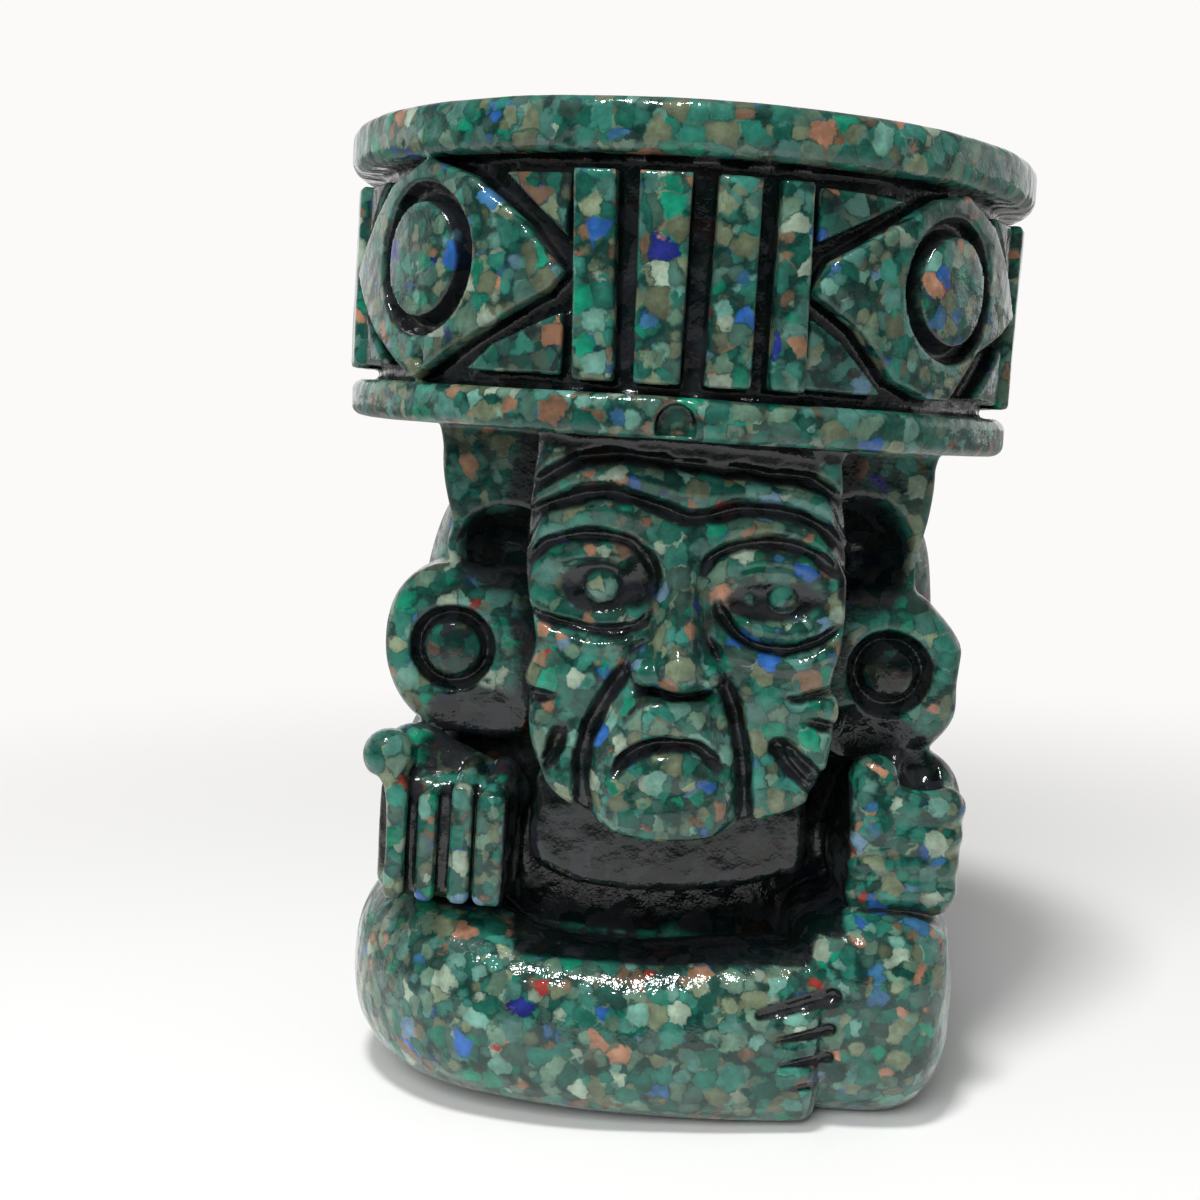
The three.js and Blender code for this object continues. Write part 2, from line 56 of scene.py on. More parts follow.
# Brazier: its axis stands a little to the left of the figure's middle
BRAZIER_X = -1.5
RIM = {"radius": 27.75, "low": 71.3, "high": 75.0, "edge": 1.1}
FOOT = {"radius": 27.0, "low": 52.25, "high": 55.2, "edge": 0.9}
WALL = {"radius": 24.9, "low": 53.5, "high": 73.0}
BOWL = {"mouth": 22.6, "floor": 20.6, "depth": 9.0, "edge": 1.2}
UNROLL_RADIUS = 26.4
PAD_RADIUS = 27.15
CORNER_RADIUS = 26.45
PAD_EDGE = 0.38

# Bars stand in four groups: each has its left and right edges at the top and bottom, in degrees
BAR_LOW = 56.0
BAR_HIGH = 70.2
BAR_GROUPS = (0, 90, 180, 270)
BARS = (
    ((-17.6, -11.1), (-16.0, -9.8)),
    ((-7.7, 0.1), (-6.7, 0.2)),
    ((3.8, 10.3), (3.7, 10.7)),
    ((13.1, 18.1), (13.4, 19.0)),
)

# Eye panels between the bar groups, as degrees from the panel's middle and heights
LEFT_PANEL = {
    "diamond": [(26.6, 63.2), (19.7, 66.6), (10.2, 69.7), (0, 71.2), (-10, 69.6), (-27, 63.3),
                (-14, 58.6), (-1.7, 55.4), (10.5, 58.5), (16.9, 60.1), (24.2, 61.9)],
    "eye": (-0.5, 64.0),
    "ring": 5.15,
    "stretch": 1.06,
    "corners": [
        [(26.6, 65.6), (26.6, 70.0), (15.0, 70.1)],
        [(26.6, 60.6), (26.6, 56.2), (9.0, 56.2), (14.5, 58.2)],
        [(-26.6, 65.6), (-15.0, 70.1), (-26.6, 70.0)],
        [(-26.6, 60.8), (-12.5, 56.4), (-26.6, 56.2)],
    ],
}
RIGHT_PANEL = {
    "diamond": [(-25.2, 63.6), (-26, 62.7), (-18, 60.6), (-10.8, 57.3), (-3.5, 56.2), (1.5, 56.2), (9, 59.8),
                (26.8, 63.0), (12, 69.2), (2.6, 71.0), (-4, 70.3), (-23.1, 65.1)],
    "eye": (0.6, 64.0),
    "ring": 4.85,
    "stretch": 1.05,
    "corners": [
        [(-25.4, 66.2), (-9.0, 69.9), (-25.4, 70.0)],
        [(-25.6, 61.2), (-19.5, 59.5), (-12.0, 56.2), (-25.6, 56.2)],
        [(26.6, 65.0), (26.6, 70.0), (14.5, 70.1)],
        [(26.6, 60.8), (13.0, 56.6), (26.6, 56.2)],
    ],
}
BOSS_SHARE = 0.87
RING_WIDTH = 1.3
RING_DEPTH = 1.5
BOSS_RISE = 0.35

# Pits left by air bubbles in the rims: degrees, height and radius
NOTCH = {"middle": 0.0, "half": 1.45, "low": 52.6, "high": 54.8, "depth": 1.5}
PITS = ((8.7, 52.95, 0.4), (-17.9, 71.9, 0.55), (-50, 72.2, 0.35), (-44.8, 56.9, 0.6), (33, 73.2, 0.3),
        (-8, 53.7, 0.22), (118, 73.0, 0.5), (205, 53.4, 0.45), (161, 72.6, 0.35))

# Head block, as places across and up on its front
FACE_FRONT = 21.8
FACE_BACK = -6.0
FACE_CURVE = 0.006
FACE_OUTLINE = [
    (-11.3, 54.5), (-11.3, 51.8), (-11.6, 48), (-11.8, 44.1), (-11.3, 40), (-10.6, 36.8), (-11.3, 34.4),
    (-11.0, 32.9), (-10.7, 30), (-9.9, 27.8), (-8.8, 25.9), (-6.4, 24.4), (-4.2, 23.4), (-2, 23.0),
    (0.4, 23.1), (3.1, 23.5), (5.4, 24.3), (8, 25.2), (10.2, 26.4), (11.2, 28.4), (11.6, 31),
    (11.9, 33.4), (11.2, 35.2), (11.7, 37.4), (11.8, 41), (11.6, 45), (11.1, 48.5), (10.7, 51.3),
    (10.6, 54.5),
]
BROW_LINE = [(-12.2, 43.4), (-11.4, 45.7), (-10.3, 46.9), (-7.2, 47.9), (-5.1, 48.0), (-2.2, 47.3),
             (0, 46.7), (2.2, 47.1), (4.9, 47.6), (8.4, 47.1), (10.7, 45.5), (12.2, 43.0)]
FOREHEAD_LINE = [(-11.6, 47.6), (-10.5, 48.8), (-8.4, 50.2), (-5, 50.7), (-1, 50.4), (4, 50.1), (9.0, 49.6),
                 (10.6, 48.2), (12.0, 45.6)]
LEFT_LID = [(-11.4, 42.6), (-10.4, 44.0), (-8.8, 44.7), (-6.6, 45.0), (-4.9, 44.9), (-3.2, 44.1), (-2.2, 42.4),
            (-2.2, 41.0)]
RIGHT_LID = [(1.2, 42.4), (1.8, 43.9), (3.7, 44.9), (5.4, 45.2), (7.2, 45.2), (9.4, 44.5), (11.2, 42.9)]
LEFT_UNDERLID = [(-11.6, 39.7), (-11.0, 39.1), (-8.8, 38.5), (-6.6, 38.1), (-4.4, 38.2), (-2.9, 38.9),
                 (-2.2, 40.1)]
RIGHT_UNDERLID = [(2.3, 40.9), (3.0, 39.6), (4.2, 38.3), (5.6, 37.7), (7.8, 37.5), (9.9, 38.3), (11.5, 39.6)]
LEFT_FOLD = [(-3.6, 35.9), (-5.0, 33.6), (-6.1, 31.1), (-6.6, 28.6), (-6.5, 25.9), (-5.9, 23.4)]
RIGHT_FOLD = [(2.9, 35.8), (3.9, 33.6), (4.6, 31.5), (5.2, 28.4), (5.5, 25.8), (5.6, 23.2)]
MUZZLE = [(-2.6, 34.4), (-4.3, 32.4), (-5.4, 29.6), (-5.8, 27), (-5.4, 24), (-4, 22.4), (0, 21.8),
          (3.6, 22.4), (4.7, 24.4), (4.6, 27.5), (4.0, 30.2), (3.2, 32.6), (2.2, 34.4)]
MOUTH = [(-4.3, 27.9), (-3.5, 29.0), (-2.4, 29.9), (-0.5, 30.4), (1.4, 30.3), (2.7, 29.5), (3.5, 28.5)]

# Ear discs, as outlines on their front
LEFT_EAR = {
    "outline": [(-14.6, 41.4), (-18.3, 41.3), (-19.9, 41.0), (-21.2, 40.2), (-22.3, 38.8), (-22.9, 37.1),
                (-23.1, 35.3), (-22.9, 33.2), (-22.2, 31.2), (-21.2, 29.8), (-19.9, 28.7), (-18.2, 28.0),
                (-13, 27.6), (-10.5, 30), (-10.5, 40)],
    "middle": (-17.6, 34.8),
    "rim": 3.4,
    "boss": 2.15,
    "boss_veil": 0.55,
    "pool": (-15.4, 29.6),
}
RIGHT_EAR = {
    "outline": [(10.5, 40), (13.6, 41.6), (16.7, 41.9), (18.6, 41.2), (20.0, 39.9), (21.2, 38.6), (21.9, 37.4),
                (21.9, 36.1), (21.8, 34.5), (21.9, 32.6), (21.6, 31.4), (20.8, 30.2), (19.6, 29.0),
                (17.6, 28.2), (13, 27.8), (10.5, 30)],
    "middle": (16.35, 35.2),
    "rim": 3.4,
    "boss": 1.85,
    "boss_veil": 0.8,
    "pool": (14.8, 30.4),
}
EAR_FRONT = 13.3
EAR_BACK = -5.0

# Hanging sides of the headcloth
CLOTH_FRONT = 12.4
CLOTH_BACK = -3.0
LEFT_CLOTH = [(-10, 54), (-10, 39.5), (-18.1, 39.5), (-18.3, 41.3), (-18.6, 43.0), (-18.3, 44.6), (-18.7, 46.2),
              (-19.2, 48.2), (-19.3, 50.4), (-19.1, 54)]
RIGHT_CLOTH = [(10, 54), (18.6, 54), (18.8, 51.0), (18.8, 49.4), (18.6, 47.4), (18.2, 45.4), (17.9, 44.2),
               (17.9, 42.6), (18.1, 41.0), (17.9, 39.5), (10, 39.5)]

# Trunk and hips: left, right, front and back at rising heights
TRUNK_POWER = 2.6
TRUNK = (
    (6, -20.5, 20.5, -10, 18.2),
    (20, -21.4, 21.4, -9.6, 19.2),
    (32, -22.0, 21.8, -8, 19.6),
    (40, -22.2, 21.8, -7, 18.6),
    (45, -20.6, 20.6, -7.4, 16.6),
    (49, -18.0, 18.0, -9, 14.2),
    (53.5, -17.2, 17.2, -10, 12.6),
)
HIPS_POWER = 3.0
HIPS = (
    (-2, -19.0, 20.0, -12, 14.6),
    (1, -21.4, 21.8, -12, 17.2),
    (5, -23.4, 23.4, -12, 19.0),
    (11, -23.6, 23.4, -10, 19.2),
    (14.5, -21.4, 21.4, -8, 18.0),
)
KNEE_POWER = 3.2
KNEE = (
    (0.2, 9.5, 19.8, -15.0, 2),
    (2.4, 9.2, 21.8, -18.2, 4),
    (5, 9.2, 22.8, -20.2, 4),
    (10, 9.4, 23.2, -20.9, 4),
    (14, 9.8, 22.9, -20.6, 4),
    (16.2, 10.6, 22.2, -19.4, 3),
    (17.5, 12.4, 20.4, -16.8, 1),
)

# Left shin: it comes round the knee, crosses the front and ends in the foot
SHIN_POWER = 2.5
SHIN_PATH = [(-14, 6), (-18.7, -4.5), (-15.3, -11.8), (-7.4, -15.0), (2, -15.7), (9, -15.6), (15.5, -15.2)]
SHIN_MIDDLES = (6.6, 7.6, 7.4, 6.6, 6.5, 7.1, 7.5)
SHIN_HALF_DEPTHS = (6.4, 6.6, 6.5, 6.5, 6.4, 6.2, 5.9)
SHIN_HALF_HEIGHTS = (7.4, 7.6, 7.6, 6.5, 6.4, 6.9, 7.1)
FOOT_END = 12.7
FOOT_LINE = [(10.4, -19.6, 15.9), (11.4, -20.8, 15.0), (12.3, -21.1, 13.6), (12.6, -21.2, 11.8), (12.7, -21.2, 8.9),
             (12.6, -20.8, 4.8), (12.4, -19.4, 1.6)]
TOE_GROOVES = (
    ((7.8, 10.1), (13.2, 11.7), 1.0, 1.1),
    ((9.2, 8.3), (13.2, 9.1), 0.75, 0.8),
    ((9.6, 6.4), (13.2, 7.0), 0.7, 0.7),
    ((10.2, 4.6), (13.2, 5.0), 0.6, 0.5),
)

# Chest collar, as heights of its top and bottom edges
COLLAR = [(-10.4, 19.6), (-10.3, 24.2), (-8.2, 26), (8.6, 26), (10.6, 24.6), (10.6, 20.0), (8.8, 19.2),
          (5.9, 18.4), (0.6, 17.7), (-4.7, 17.6), (-7.8, 18.0)]
COLLAR_FRONT = 17.8
COLLAR_BACK = -8.0


def smooth_min(a, b, blend):
    """Joins two distance fields, with a fillet of about that size."""
    if blend == 0:
        return np.minimum(a, b)
    overlap = np.maximum(blend - np.abs(a - b), 0)
    return np.minimum(a, b) - overlap * overlap / (4 * blend)


def smooth_max(a, b, blend):
    return -smooth_min(-a, -b, blend)


def smooth_step(value, low, high):
    share = np.clip((value - low) / (high - low), 0, 1)
    return share * share * (3 - 2 * share)


def curve_through(points, steps=6, closed=False):
    """Smooth line through given points, as rows of coordinates."""
    knots = np.array(points, float)
    if closed:
        padded = np.vstack([knots[-1], knots, knots[0], knots[1]])
    else:
        padded = np.vstack([2 * knots[0] - knots[1], knots, 2 * knots[-1] - knots[-2]])
    rows = []
    for i in range(1, len(padded) - 2):
        before, start, end, after = padded[i - 1:i + 3]
        for t in np.arange(steps) / steps:
            bend = (2 * before - 5 * start + 4 * end - after) * t * t
            twist = (3 * start - before - 3 * end + after) * t ** 3
            rows.append(0.5 * (2 * start + (end - before) * t + bend + twist))
    if not closed:
        rows.append(knots[-1])
    return np.array(rows)


def eased(places, knots, values):
    """Reads a table of sizes with smooth joints between its rows."""
    knots = np.array(knots, float)
    values = np.array(values, float)
    slopes = np.gradient(values, knots)
    spot = np.clip(np.searchsorted(knots, places) - 1, 0, len(knots) - 2)
    span = knots[spot + 1] - knots[spot]
    t = np.clip((places - knots[spot]) / span, 0, 1)
    rise = values[spot] * (2 * t ** 3 - 3 * t ** 2 + 1) + values[spot + 1] * (3 * t ** 2 - 2 * t ** 3)
    return rise + span * (slopes[spot] * (t ** 3 - 2 * t ** 2 + t) + slopes[spot + 1] * (t ** 3 - t ** 2))


def line_distance(u, v, points):
    """Distance to a drawn line, and the place along it in millimetres."""
    nearest = np.full(np.broadcast(u, v).shape, FAR, np.float32)
    place = np.zeros_like(nearest)
    run = 0.0
    for (u0, v0), (u1, v1) in zip(points[:-1], points[1:]):
        length = max(math.hypot(u1 - u0, v1 - v0), 1e-6)
        along = np.clip(((u - u0) * (u1 - u0) + (v - v0) * (v1 - v0)) / length, 0, length)
        distance = np.hypot(u - u0 - along * (u1 - u0) / length, v - v0 - along * (v1 - v0) / length)
        closer = distance < nearest
        nearest = np.where(closer, distance, nearest)
        place = np.where(closer, run + along, place)
        run += length
    return nearest, place, run


def outline_distance(u, v, points):
    """Signed distance to a closed outline, negative inside it."""
    ring = np.vstack([points, points[:1]])
    distance = line_distance(u, v, ring)[0]
    within = np.zeros(distance.shape, bool)
    for (u0, v0), (u1, v1) in zip(ring[:-1], ring[1:]):
        if v0 != v1:
            crossed = (v0 > v) != (v1 > v)
            within ^= crossed & (u < u0 + (v - v0) * (u1 - u0) / (v1 - v0))
    return np.where(within, -distance, distance)


def smooth_noise(axes, spacing, seed):
    """Soft random field from -1 to 1 over some axes, with bumps of a given spacing."""
    counts = [int((axis[-1] - axis[0]) / spacing) + 4 for axis in axes]
    lattice = np.random.default_rng(seed).uniform(-1, 1, counts).astype(np.float32)
    for i, axis in enumerate(axes):
        places = (axis - axis[0]) / spacing + 1
        spot = places.astype(int)
        t = places - spot
        weights = np.zeros((len(axis), counts[i]), np.float32)
        rows = np.arange(len(axis))
        for shift, share in ((-1, (1 - t) ** 3 / 6), (0, (3 * t ** 3 - 6 * t ** 2 + 4) / 6),
                             (1, (3 * t ** 2 - 3 * t ** 3 + 3 * t + 1) / 6), (2, t ** 3 / 6)):
            weights[rows, np.minimum(spot + shift, counts[i] - 1)] += share
        lattice = np.moveaxis(np.tensordot(weights, lattice, (1, i)), 0, i)
    return lattice


class Sheet:
    """Front of a slab as a drawing board: u runs to the right, v runs up, heights come forward."""

    def __init__(self, low, high, front):
        self.u_axis = np.arange(low[0], high[0] + STEP, STEP, dtype=np.float32)
        self.v_axis = np.arange(low[1], high[1] + STEP, STEP, dtype=np.float32)
        self.u = self.u_axis[:, None]
        self.v = self.v_axis[None, :]
        self.front = front
        self.height = np.full((len(self.u_axis), len(self.v_axis)), front, np.float32)
        self.resin_and_painted_shade = np.zeros_like(self.height)
        self.grain = smooth_noise((self.u_axis, self.v_axis), 0.9, SEED + 2)

    def oval(self, middle, radii, turn=0.0):
        """Share of the way from an oval's middle, 0, to its rim, 1."""
        du = self.u - middle[0]
        dv = self.v - middle[1]
        cos, sin = math.cos(math.radians(turn)), math.sin(math.radians(turn))
        return np.hypot((du * cos + dv * sin) / radii[0], (dv * cos - du * sin) / radii[1])

    def groove(self, points, width, depth, resin_and_painted_shade=1.0, taper=1.5):
        """Carved channel with a round floor that fills with resin."""
        distance, place, run = line_distance(self.u, self.v, curve_through(points))
        ends = np.clip(np.minimum(place, run - place) / taper + 0.25, 0, 1)
        uneven = np.maximum(distance + 0.22 * self.grain, 0)
        share = np.clip(1 - (2 * uneven / (width * (0.5 + 0.5 * ends))) ** 2, 0, 1)
        self.height -= depth * share * ends
        self.darken(smooth_step(share * ends, 0.05, 0.5) * resin_and_painted_shade)

    def ridge(self, points, width, rise):
        distance, place, run = line_distance(self.u, self.v, curve_through(points))
        ends = np.clip(np.minimum(place, run - place) / width, 0, 1)
        self.height += rise * np.clip(1 - (2 * distance / width) ** 2, 0, 1) ** 2 * ends

    def swell(self, middle, radii, rise, turn=0.0, power=2.0):
        """Soft rise, or a hollow where the rise is negative."""
        self.height += rise * np.clip(1 - self.oval(middle, radii, turn) ** 2, 0, 1) ** power

    def dome(self, middle, radii, base, rise, turn=0.0, blend=0.3):
        """Rounded knob that stands on a level of its own."""
        share = self.oval(middle, radii, turn)
        top = base + rise * np.sqrt(np.clip(1 - share ** 2, 0, 1)) - 4 * np.maximum(share - 1, 0)
        self.height = smooth_max(self.height, top, blend)

    # Darkens the sheet: dark resin in carved places, painted shade in hollows and beside the face.
    def darken(self, amount):
        self.resin_and_painted_shade = np.maximum(self.resin_and_painted_shade, amount)


class Clay:
    """The casting as signed distances on a grid, with the share of dark resin and painted shade at each point."""

    def __init__(self):
        self.axes = [np.arange(low, high, STEP, dtype=np.float32) for low, high in zip(GRID_LOW, GRID_HIGH)]
        shape = [len(axis) for axis in self.axes]
        self.field = np.full(shape, FAR, np.float32)
        self.resin_and_painted_shade = np.zeros(shape, np.float32)

    def window(self, low, high, margin):
        spans = []
        for axis, start, end in zip(self.axes, low, high):
            first, last = np.searchsorted(axis, (start - margin, end + margin))
            spans.append(slice(int(first), int(last)))
        x, y, z = (axis[span] for axis, span in zip(self.axes, spans))
        return tuple(spans), x[:, None, None], y[None, :, None], z[None, None, :]

    def add(self, form, blend=0.3):
        low, high, distance = form
        spans, x, y, z = self.window(low, high, blend + 1.5)
        self.field[spans] = smooth_min(self.field[spans], distance(x, y, z), blend)

    def cut(self, form, blend=0.3):
        low, high, distance = form
        spans, x, y, z = self.window(low, high, blend + 1.5)
        self.field[spans] = smooth_max(self.field[spans], -distance(x, y, z), blend)

    def darken(self, form, reach=1.0, amount=1.0):
        """Darkens a form, fading over a reach outside it: dark resin in carved places, painted shade in deep places."""
        low, high, distance = form
        spans, x, y, z = self.window(low, high, reach + 0.5)
        share = amount * smooth_step(-distance(x, y, z), -reach, 0)
        self.resin_and_painted_shade[spans] = np.maximum(self.resin_and_painted_shade[spans], share)


def ball(middle, radii):
    radii = np.broadcast_to(np.array(radii, float), 3)
    low, high = np.array(middle) - radii, np.array(middle) + radii

    def distance(x, y, z):
        px, py, pz = x - middle[0], y - middle[1], z - middle[2]
        share = np.sqrt((px / radii[0]) ** 2 + (py / radii[1]) ** 2 + (pz / radii[2]) ** 2)
        steep = np.sqrt((px / radii[0] ** 2) ** 2 + (py / radii[1] ** 2) ** 2 + (pz / radii[2] ** 2) ** 2)
        return share * (share - 1) / np.maximum(steep, 1e-4)

    return low, high, distance


def rod(start, end, first_radius, last_radius=None, flat=1.0):
    """Round bar between two points; flat squashes its thickness along Y."""
    last_radius = first_radius if last_radius is None else last_radius
    start, end = np.array(start, float), np.array(end, float)
    most = max(first_radius, last_radius)
    low, high = np.minimum(start, end) - most, np.maximum(start, end) + most
    run = end - start
    squared = float(run @ run)

    def distance(x, y, z):
        px, py, pz = x - start[0], y - start[1], z - start[2]
        t = np.clip((px * run[0] + py * run[1] + pz * run[2]) / squared, 0, 1)
        across = (py - t * run[1]) / flat
        gap = np.sqrt((px - t * run[0]) ** 2 + across ** 2 + (pz - t * run[2]) ** 2)
        return (gap - first_radius - t * (last_radius - first_radius)) * min(flat, 1.0)

    return low, high, distance


def block(low, high, edge):
    """Box with rounded edges."""
    low, high = np.array(low, float), np.array(high, float)
    middle, half = (low + high) / 2, (high - low) / 2 - edge

    def distance(x, y, z):
        gaps = [np.abs(axis - middle[i]) - half[i] for i, axis in enumerate((x, y, z))]
        outside = np.sqrt(sum(np.maximum(gap, 0) ** 2 for gap in gaps))
        inside = np.minimum(np.maximum(np.maximum(gaps[0], gaps[1]), gaps[2]), 0)
        return outside + inside - edge

    return low, high, distance


def tower(rows, power, edge):
    """Body built up from level outlines on squared ellipses."""
    table = np.array(rows, float)
    low = (table[:, 1].min(), table[:, 3].min(), table[0, 0])
    high = (table[:, 2].max(), table[:, 4].max(), table[-1, 0])

    def distance(x, y, z):
        left, right, front, back = (eased(z, table[:, 0], table[:, i]) for i in range(1, 5))
        half_x, half_y = (right - left) / 2, (back - front) / 2
        u = np.abs(x - (left + right) / 2) / half_x + 1e-4
        v = np.abs(y - (front + back) / 2) / half_y + 1e-4
        share = (u ** power + v ** power) ** (1 / power)
        steep = share ** (1 - power) * np.sqrt((u ** (power - 1) / half_x) ** 2 + (v ** (power - 1) / half_y) ** 2)
        sides = (share - 1) / steep
        return smooth_max(sides, np.maximum(low[2] - z, z - high[2]), edge)

    return low, high, distance


def shin():
    """Limb along a level path, with an upright squared section, cut off at the toes."""
    path = curve_through(SHIN_PATH)
    knots = np.linspace(0, 1, len(SHIN_MIDDLES))
    most = max(SHIN_HALF_DEPTHS)
    low = (*(path.min(0) - most), -2.0)
    high = (FOOT_END, path[:, 1].max() + most, max(SHIN_MIDDLES) + max(SHIN_HALF_HEIGHTS))

    def distance(x, y, z):
        gap, place, run = line_distance(x[:, :, 0], y[:, :, 0], path)
        share = (place / run)[:, :, None]
        middle = eased(share, knots, SHIN_MIDDLES)
        half_depth = eased(share, knots, SHIN_HALF_DEPTHS)
        half_height = eased(share, knots, SHIN_HALF_HEIGHTS)
        u = gap[:, :, None] / half_depth + 1e-4
        v = np.abs(z - middle) / half_height + 1e-4
        whole = (u ** SHIN_POWER + v ** SHIN_POWER) ** (1 / SHIN_POWER)
        steep = whole ** (1 - SHIN_POWER) * np.sqrt(
            (u ** (SHIN_POWER - 1) / half_depth) ** 2 + (v ** (SHIN_POWER - 1) / half_height) ** 2)
        return smooth_max((whole - 1) / steep, x - FOOT_END, 1.6)

    return low, high, distance


def slab(clay, outline, sheet, back, edge, blend=0.3, smooth_outline=True):
    """Adds a slab whose front is a drawn sheet, and lets the sheet's dark resin and painted shade into the clay."""
    points = curve_through(outline, 4, closed=True) if smooth_outline else np.array(outline, float)
    rim = outline_distance(sheet.u, sheet.v, points)
    slope_u, slope_v = np.gradient(sheet.height, STEP)
    steep = np.sqrt(1 + slope_u ** 2 + slope_v ** 2)
    low = (points[:, 0].min(), -float(sheet.height.max()), points[:, 1].min())
    high = (points[:, 0].max(), back, points[:, 1].max())
    spans, x, y, z = clay.window(low, high, blend + 1.5)
    tables = [resampled(sheet, table, x[:, 0, 0], z[0, 0, :])[:, None, :]
              for table in (rim, sheet.height, steep, sheet.resin_and_painted_shade)]
    gap, height, steep, resin_and_painted_shade = tables
    front = (-y - height) / steep
    form = np.maximum(smooth_max(gap, front, edge), y - back)
    clay.field[spans] = smooth_min(clay.field[spans], form, blend)
    near = smooth_step(front, -2.2, -1.2) * (front < 2.0)
    clay.resin_and_painted_shade[spans] = np.maximum(clay.resin_and_painted_shade[spans], resin_and_painted_shade * near)


def resampled(sheet, table, x, z):
    """Reads a sheet's table at the grid's own places."""
    u = np.clip((x - sheet.u_axis[0]) / STEP, 0, len(sheet.u_axis) - 1.001)
    v = np.clip((z - sheet.v_axis[0]) / STEP, 0, len(sheet.v_axis) - 1.001)
    iu, iv = u.astype(int), v.astype(int)
    fu, fv = (u - iu)[:, None], (v - iv)[None, :]
    corner = table[np.ix_(iu, iv)] * (1 - fv) + table[np.ix_(iu, iv + 1)] * fv
    other = table[np.ix_(iu + 1, iv)] * (1 - fv) + table[np.ix_(iu + 1, iv + 1)] * fv
    return corner * (1 - fu) + other * fu


def around(degrees):
    """Angle folded to the half turn on either side of zero."""
    return (degrees + 180) % 360 - 180


def ring_profile(radius, height, size):
    """Distance to a solid ring of the brazier with rounded edges."""
    edge = size["edge"]
    across = radius - (size["radius"] - edge)
    up = np.abs(height - (size["low"] + size["high"]) / 2) - ((size["high"] - size["low"]) / 2 - edge)
    return np.hypot(np.maximum(across, 0), np.maximum(up, 0)) + np.minimum(np.maximum(across, up), 0) - edge


def wall_pattern(heights):
    """Unrolled distances to the raised pads: bars with diamonds, corner fields, and eye rings."""
    angles = np.arange(0, 360, 0.1)
    pads = np.full((len(angles), len(heights)), FAR, np.float32)
    corners = pads.copy()
    eyes = pads.copy()
    stretch = math.radians(1) * UNROLL_RADIUS
    v = heights[None, :]
    for group in BAR_GROUPS:
        spot = np.abs(around(angles - group)) < 28
        u = (around(angles - group) * stretch)[spot][:, None]
        for (top_left, top_right), (low_left, low_right) in BARS:
            corners_of_bar = [(low_left * stretch, BAR_LOW), (low_right * stretch, BAR_LOW),
                              (top_right * stretch, BAR_HIGH), (top_left * stretch, BAR_HIGH)]
            pads[spot] = np.minimum(pads[spot], outline_distance(u, v, np.array(corners_of_bar)))
    for middle, panel in ((45, RIGHT_PANEL), (135, LEFT_PANEL), (225, RIGHT_PANEL), (315, LEFT_PANEL)):
        spot = np.abs(around(angles - middle)) < 38
        u = (around(angles - middle) * stretch)[spot][:, None]
        scaled = [(degree * stretch, height) for degree, height in panel["diamond"]]
        pads[spot] = np.minimum(pads[spot], outline_distance(u, v, np.array(scaled)))
        for field in panel["corners"]:
            scaled = [(degree * stretch, height) for degree, height in field]
            corners[spot] = np.minimum(corners[spot], outline_distance(u, v, np.array(scaled)))
        across = (u - panel["eye"][0] * stretch) * panel["stretch"]
        reach = np.hypot(across, v - panel["eye"][1]) / panel["ring"]
        eyes[spot] = np.minimum(eyes[spot], reach)
    return pads, corners, eyes


def raised_pad(outline, radius, top, edge):
    """Distance to a pad with rounded shoulders, from its outline and the height of its face."""
    across = outline + edge
    out = radius - top + edge
    return np.hypot(np.maximum(across, 0), np.maximum(out, 0)) + np.minimum(np.maximum(across, out), 0) - edge


def add_brazier(clay):
    reach = RIM["radius"]
    low = (BRAZIER_X - reach, -reach, FOOT["low"])
    high = (BRAZIER_X + reach, reach, RIM["high"])
    spans, x, y, z = clay.window(low, high, 1.0)
    radius = np.hypot(x - BRAZIER_X, y)
    degrees = np.degrees(np.arctan2(x - BRAZIER_X, -y)) % 360
    index = (degrees * 10).astype(int)[:, :, 0] % 3600
    pads, corners, eyes = (table[index] for table in wall_pattern(z[0, 0, :]))

    body = np.minimum(ring_profile(radius, z, RIM), ring_profile(radius, z, FOOT))
    wall = np.maximum(radius - WALL["radius"], np.maximum(WALL["low"] - z, z - WALL["high"]))
    body = smooth_min(body, wall, 0.5)
    eye_share = np.clip(1 - eyes ** 2, 0, 1)
    pad = raised_pad(pads, radius, PAD_RADIUS + BOSS_RISE * eye_share, PAD_EDGE)
    body = smooth_min(body, pad, 0.35)
    body = smooth_min(body, raised_pad(corners, radius, CORNER_RADIUS, 0.3), 0.3)
    ring_middle = (1 + BOSS_SHARE) / 2
    ring = np.hypot((eyes - ring_middle) * 5.0 / (RING_WIDTH / 2), (radius - PAD_RADIUS) / RING_DEPTH) - 1
    body = smooth_max(body, -ring * RING_WIDTH / 2, 0.2)

    floor = RIM["high"] - BOWL["depth"]
    side = BOWL["floor"] + (BOWL["mouth"] - BOWL["floor"]) * np.clip((z - floor) / BOWL["depth"], 0, 1.2)
    bowl = smooth_max(radius - side, floor - z, 3.0)
    body = smooth_max(body, -bowl, BOWL["edge"])
    body = carve_pits(body, radius, degrees, z)
    clay.field[spans] = smooth_min(clay.field[spans], body, 0.4)

    sunk = smooth_step(-(radius + 0 * z), -PAD_RADIUS + 0.7, -WALL["radius"] - 0.7)
    between = (z > FOOT["high"] - 0.3) & (z < RIM["low"] + 0.4)
    veil = 0.42 * smooth_step(-corners, -0.2, 0.3) * (radius > WALL["radius"] + 0.3)
    ring_soak = smooth_step(-np.abs(eyes - ring_middle) * 5.0, -RING_WIDTH * 0.75, -RING_WIDTH * 0.4)
    soaked = np.maximum(np.maximum(sunk, veil), ring_soak) * between
    clay.resin_and_painted_shade[spans] = np.maximum(clay.resin_and_painted_shade[spans], soaked * (radius > BOWL["mouth"] + 1))


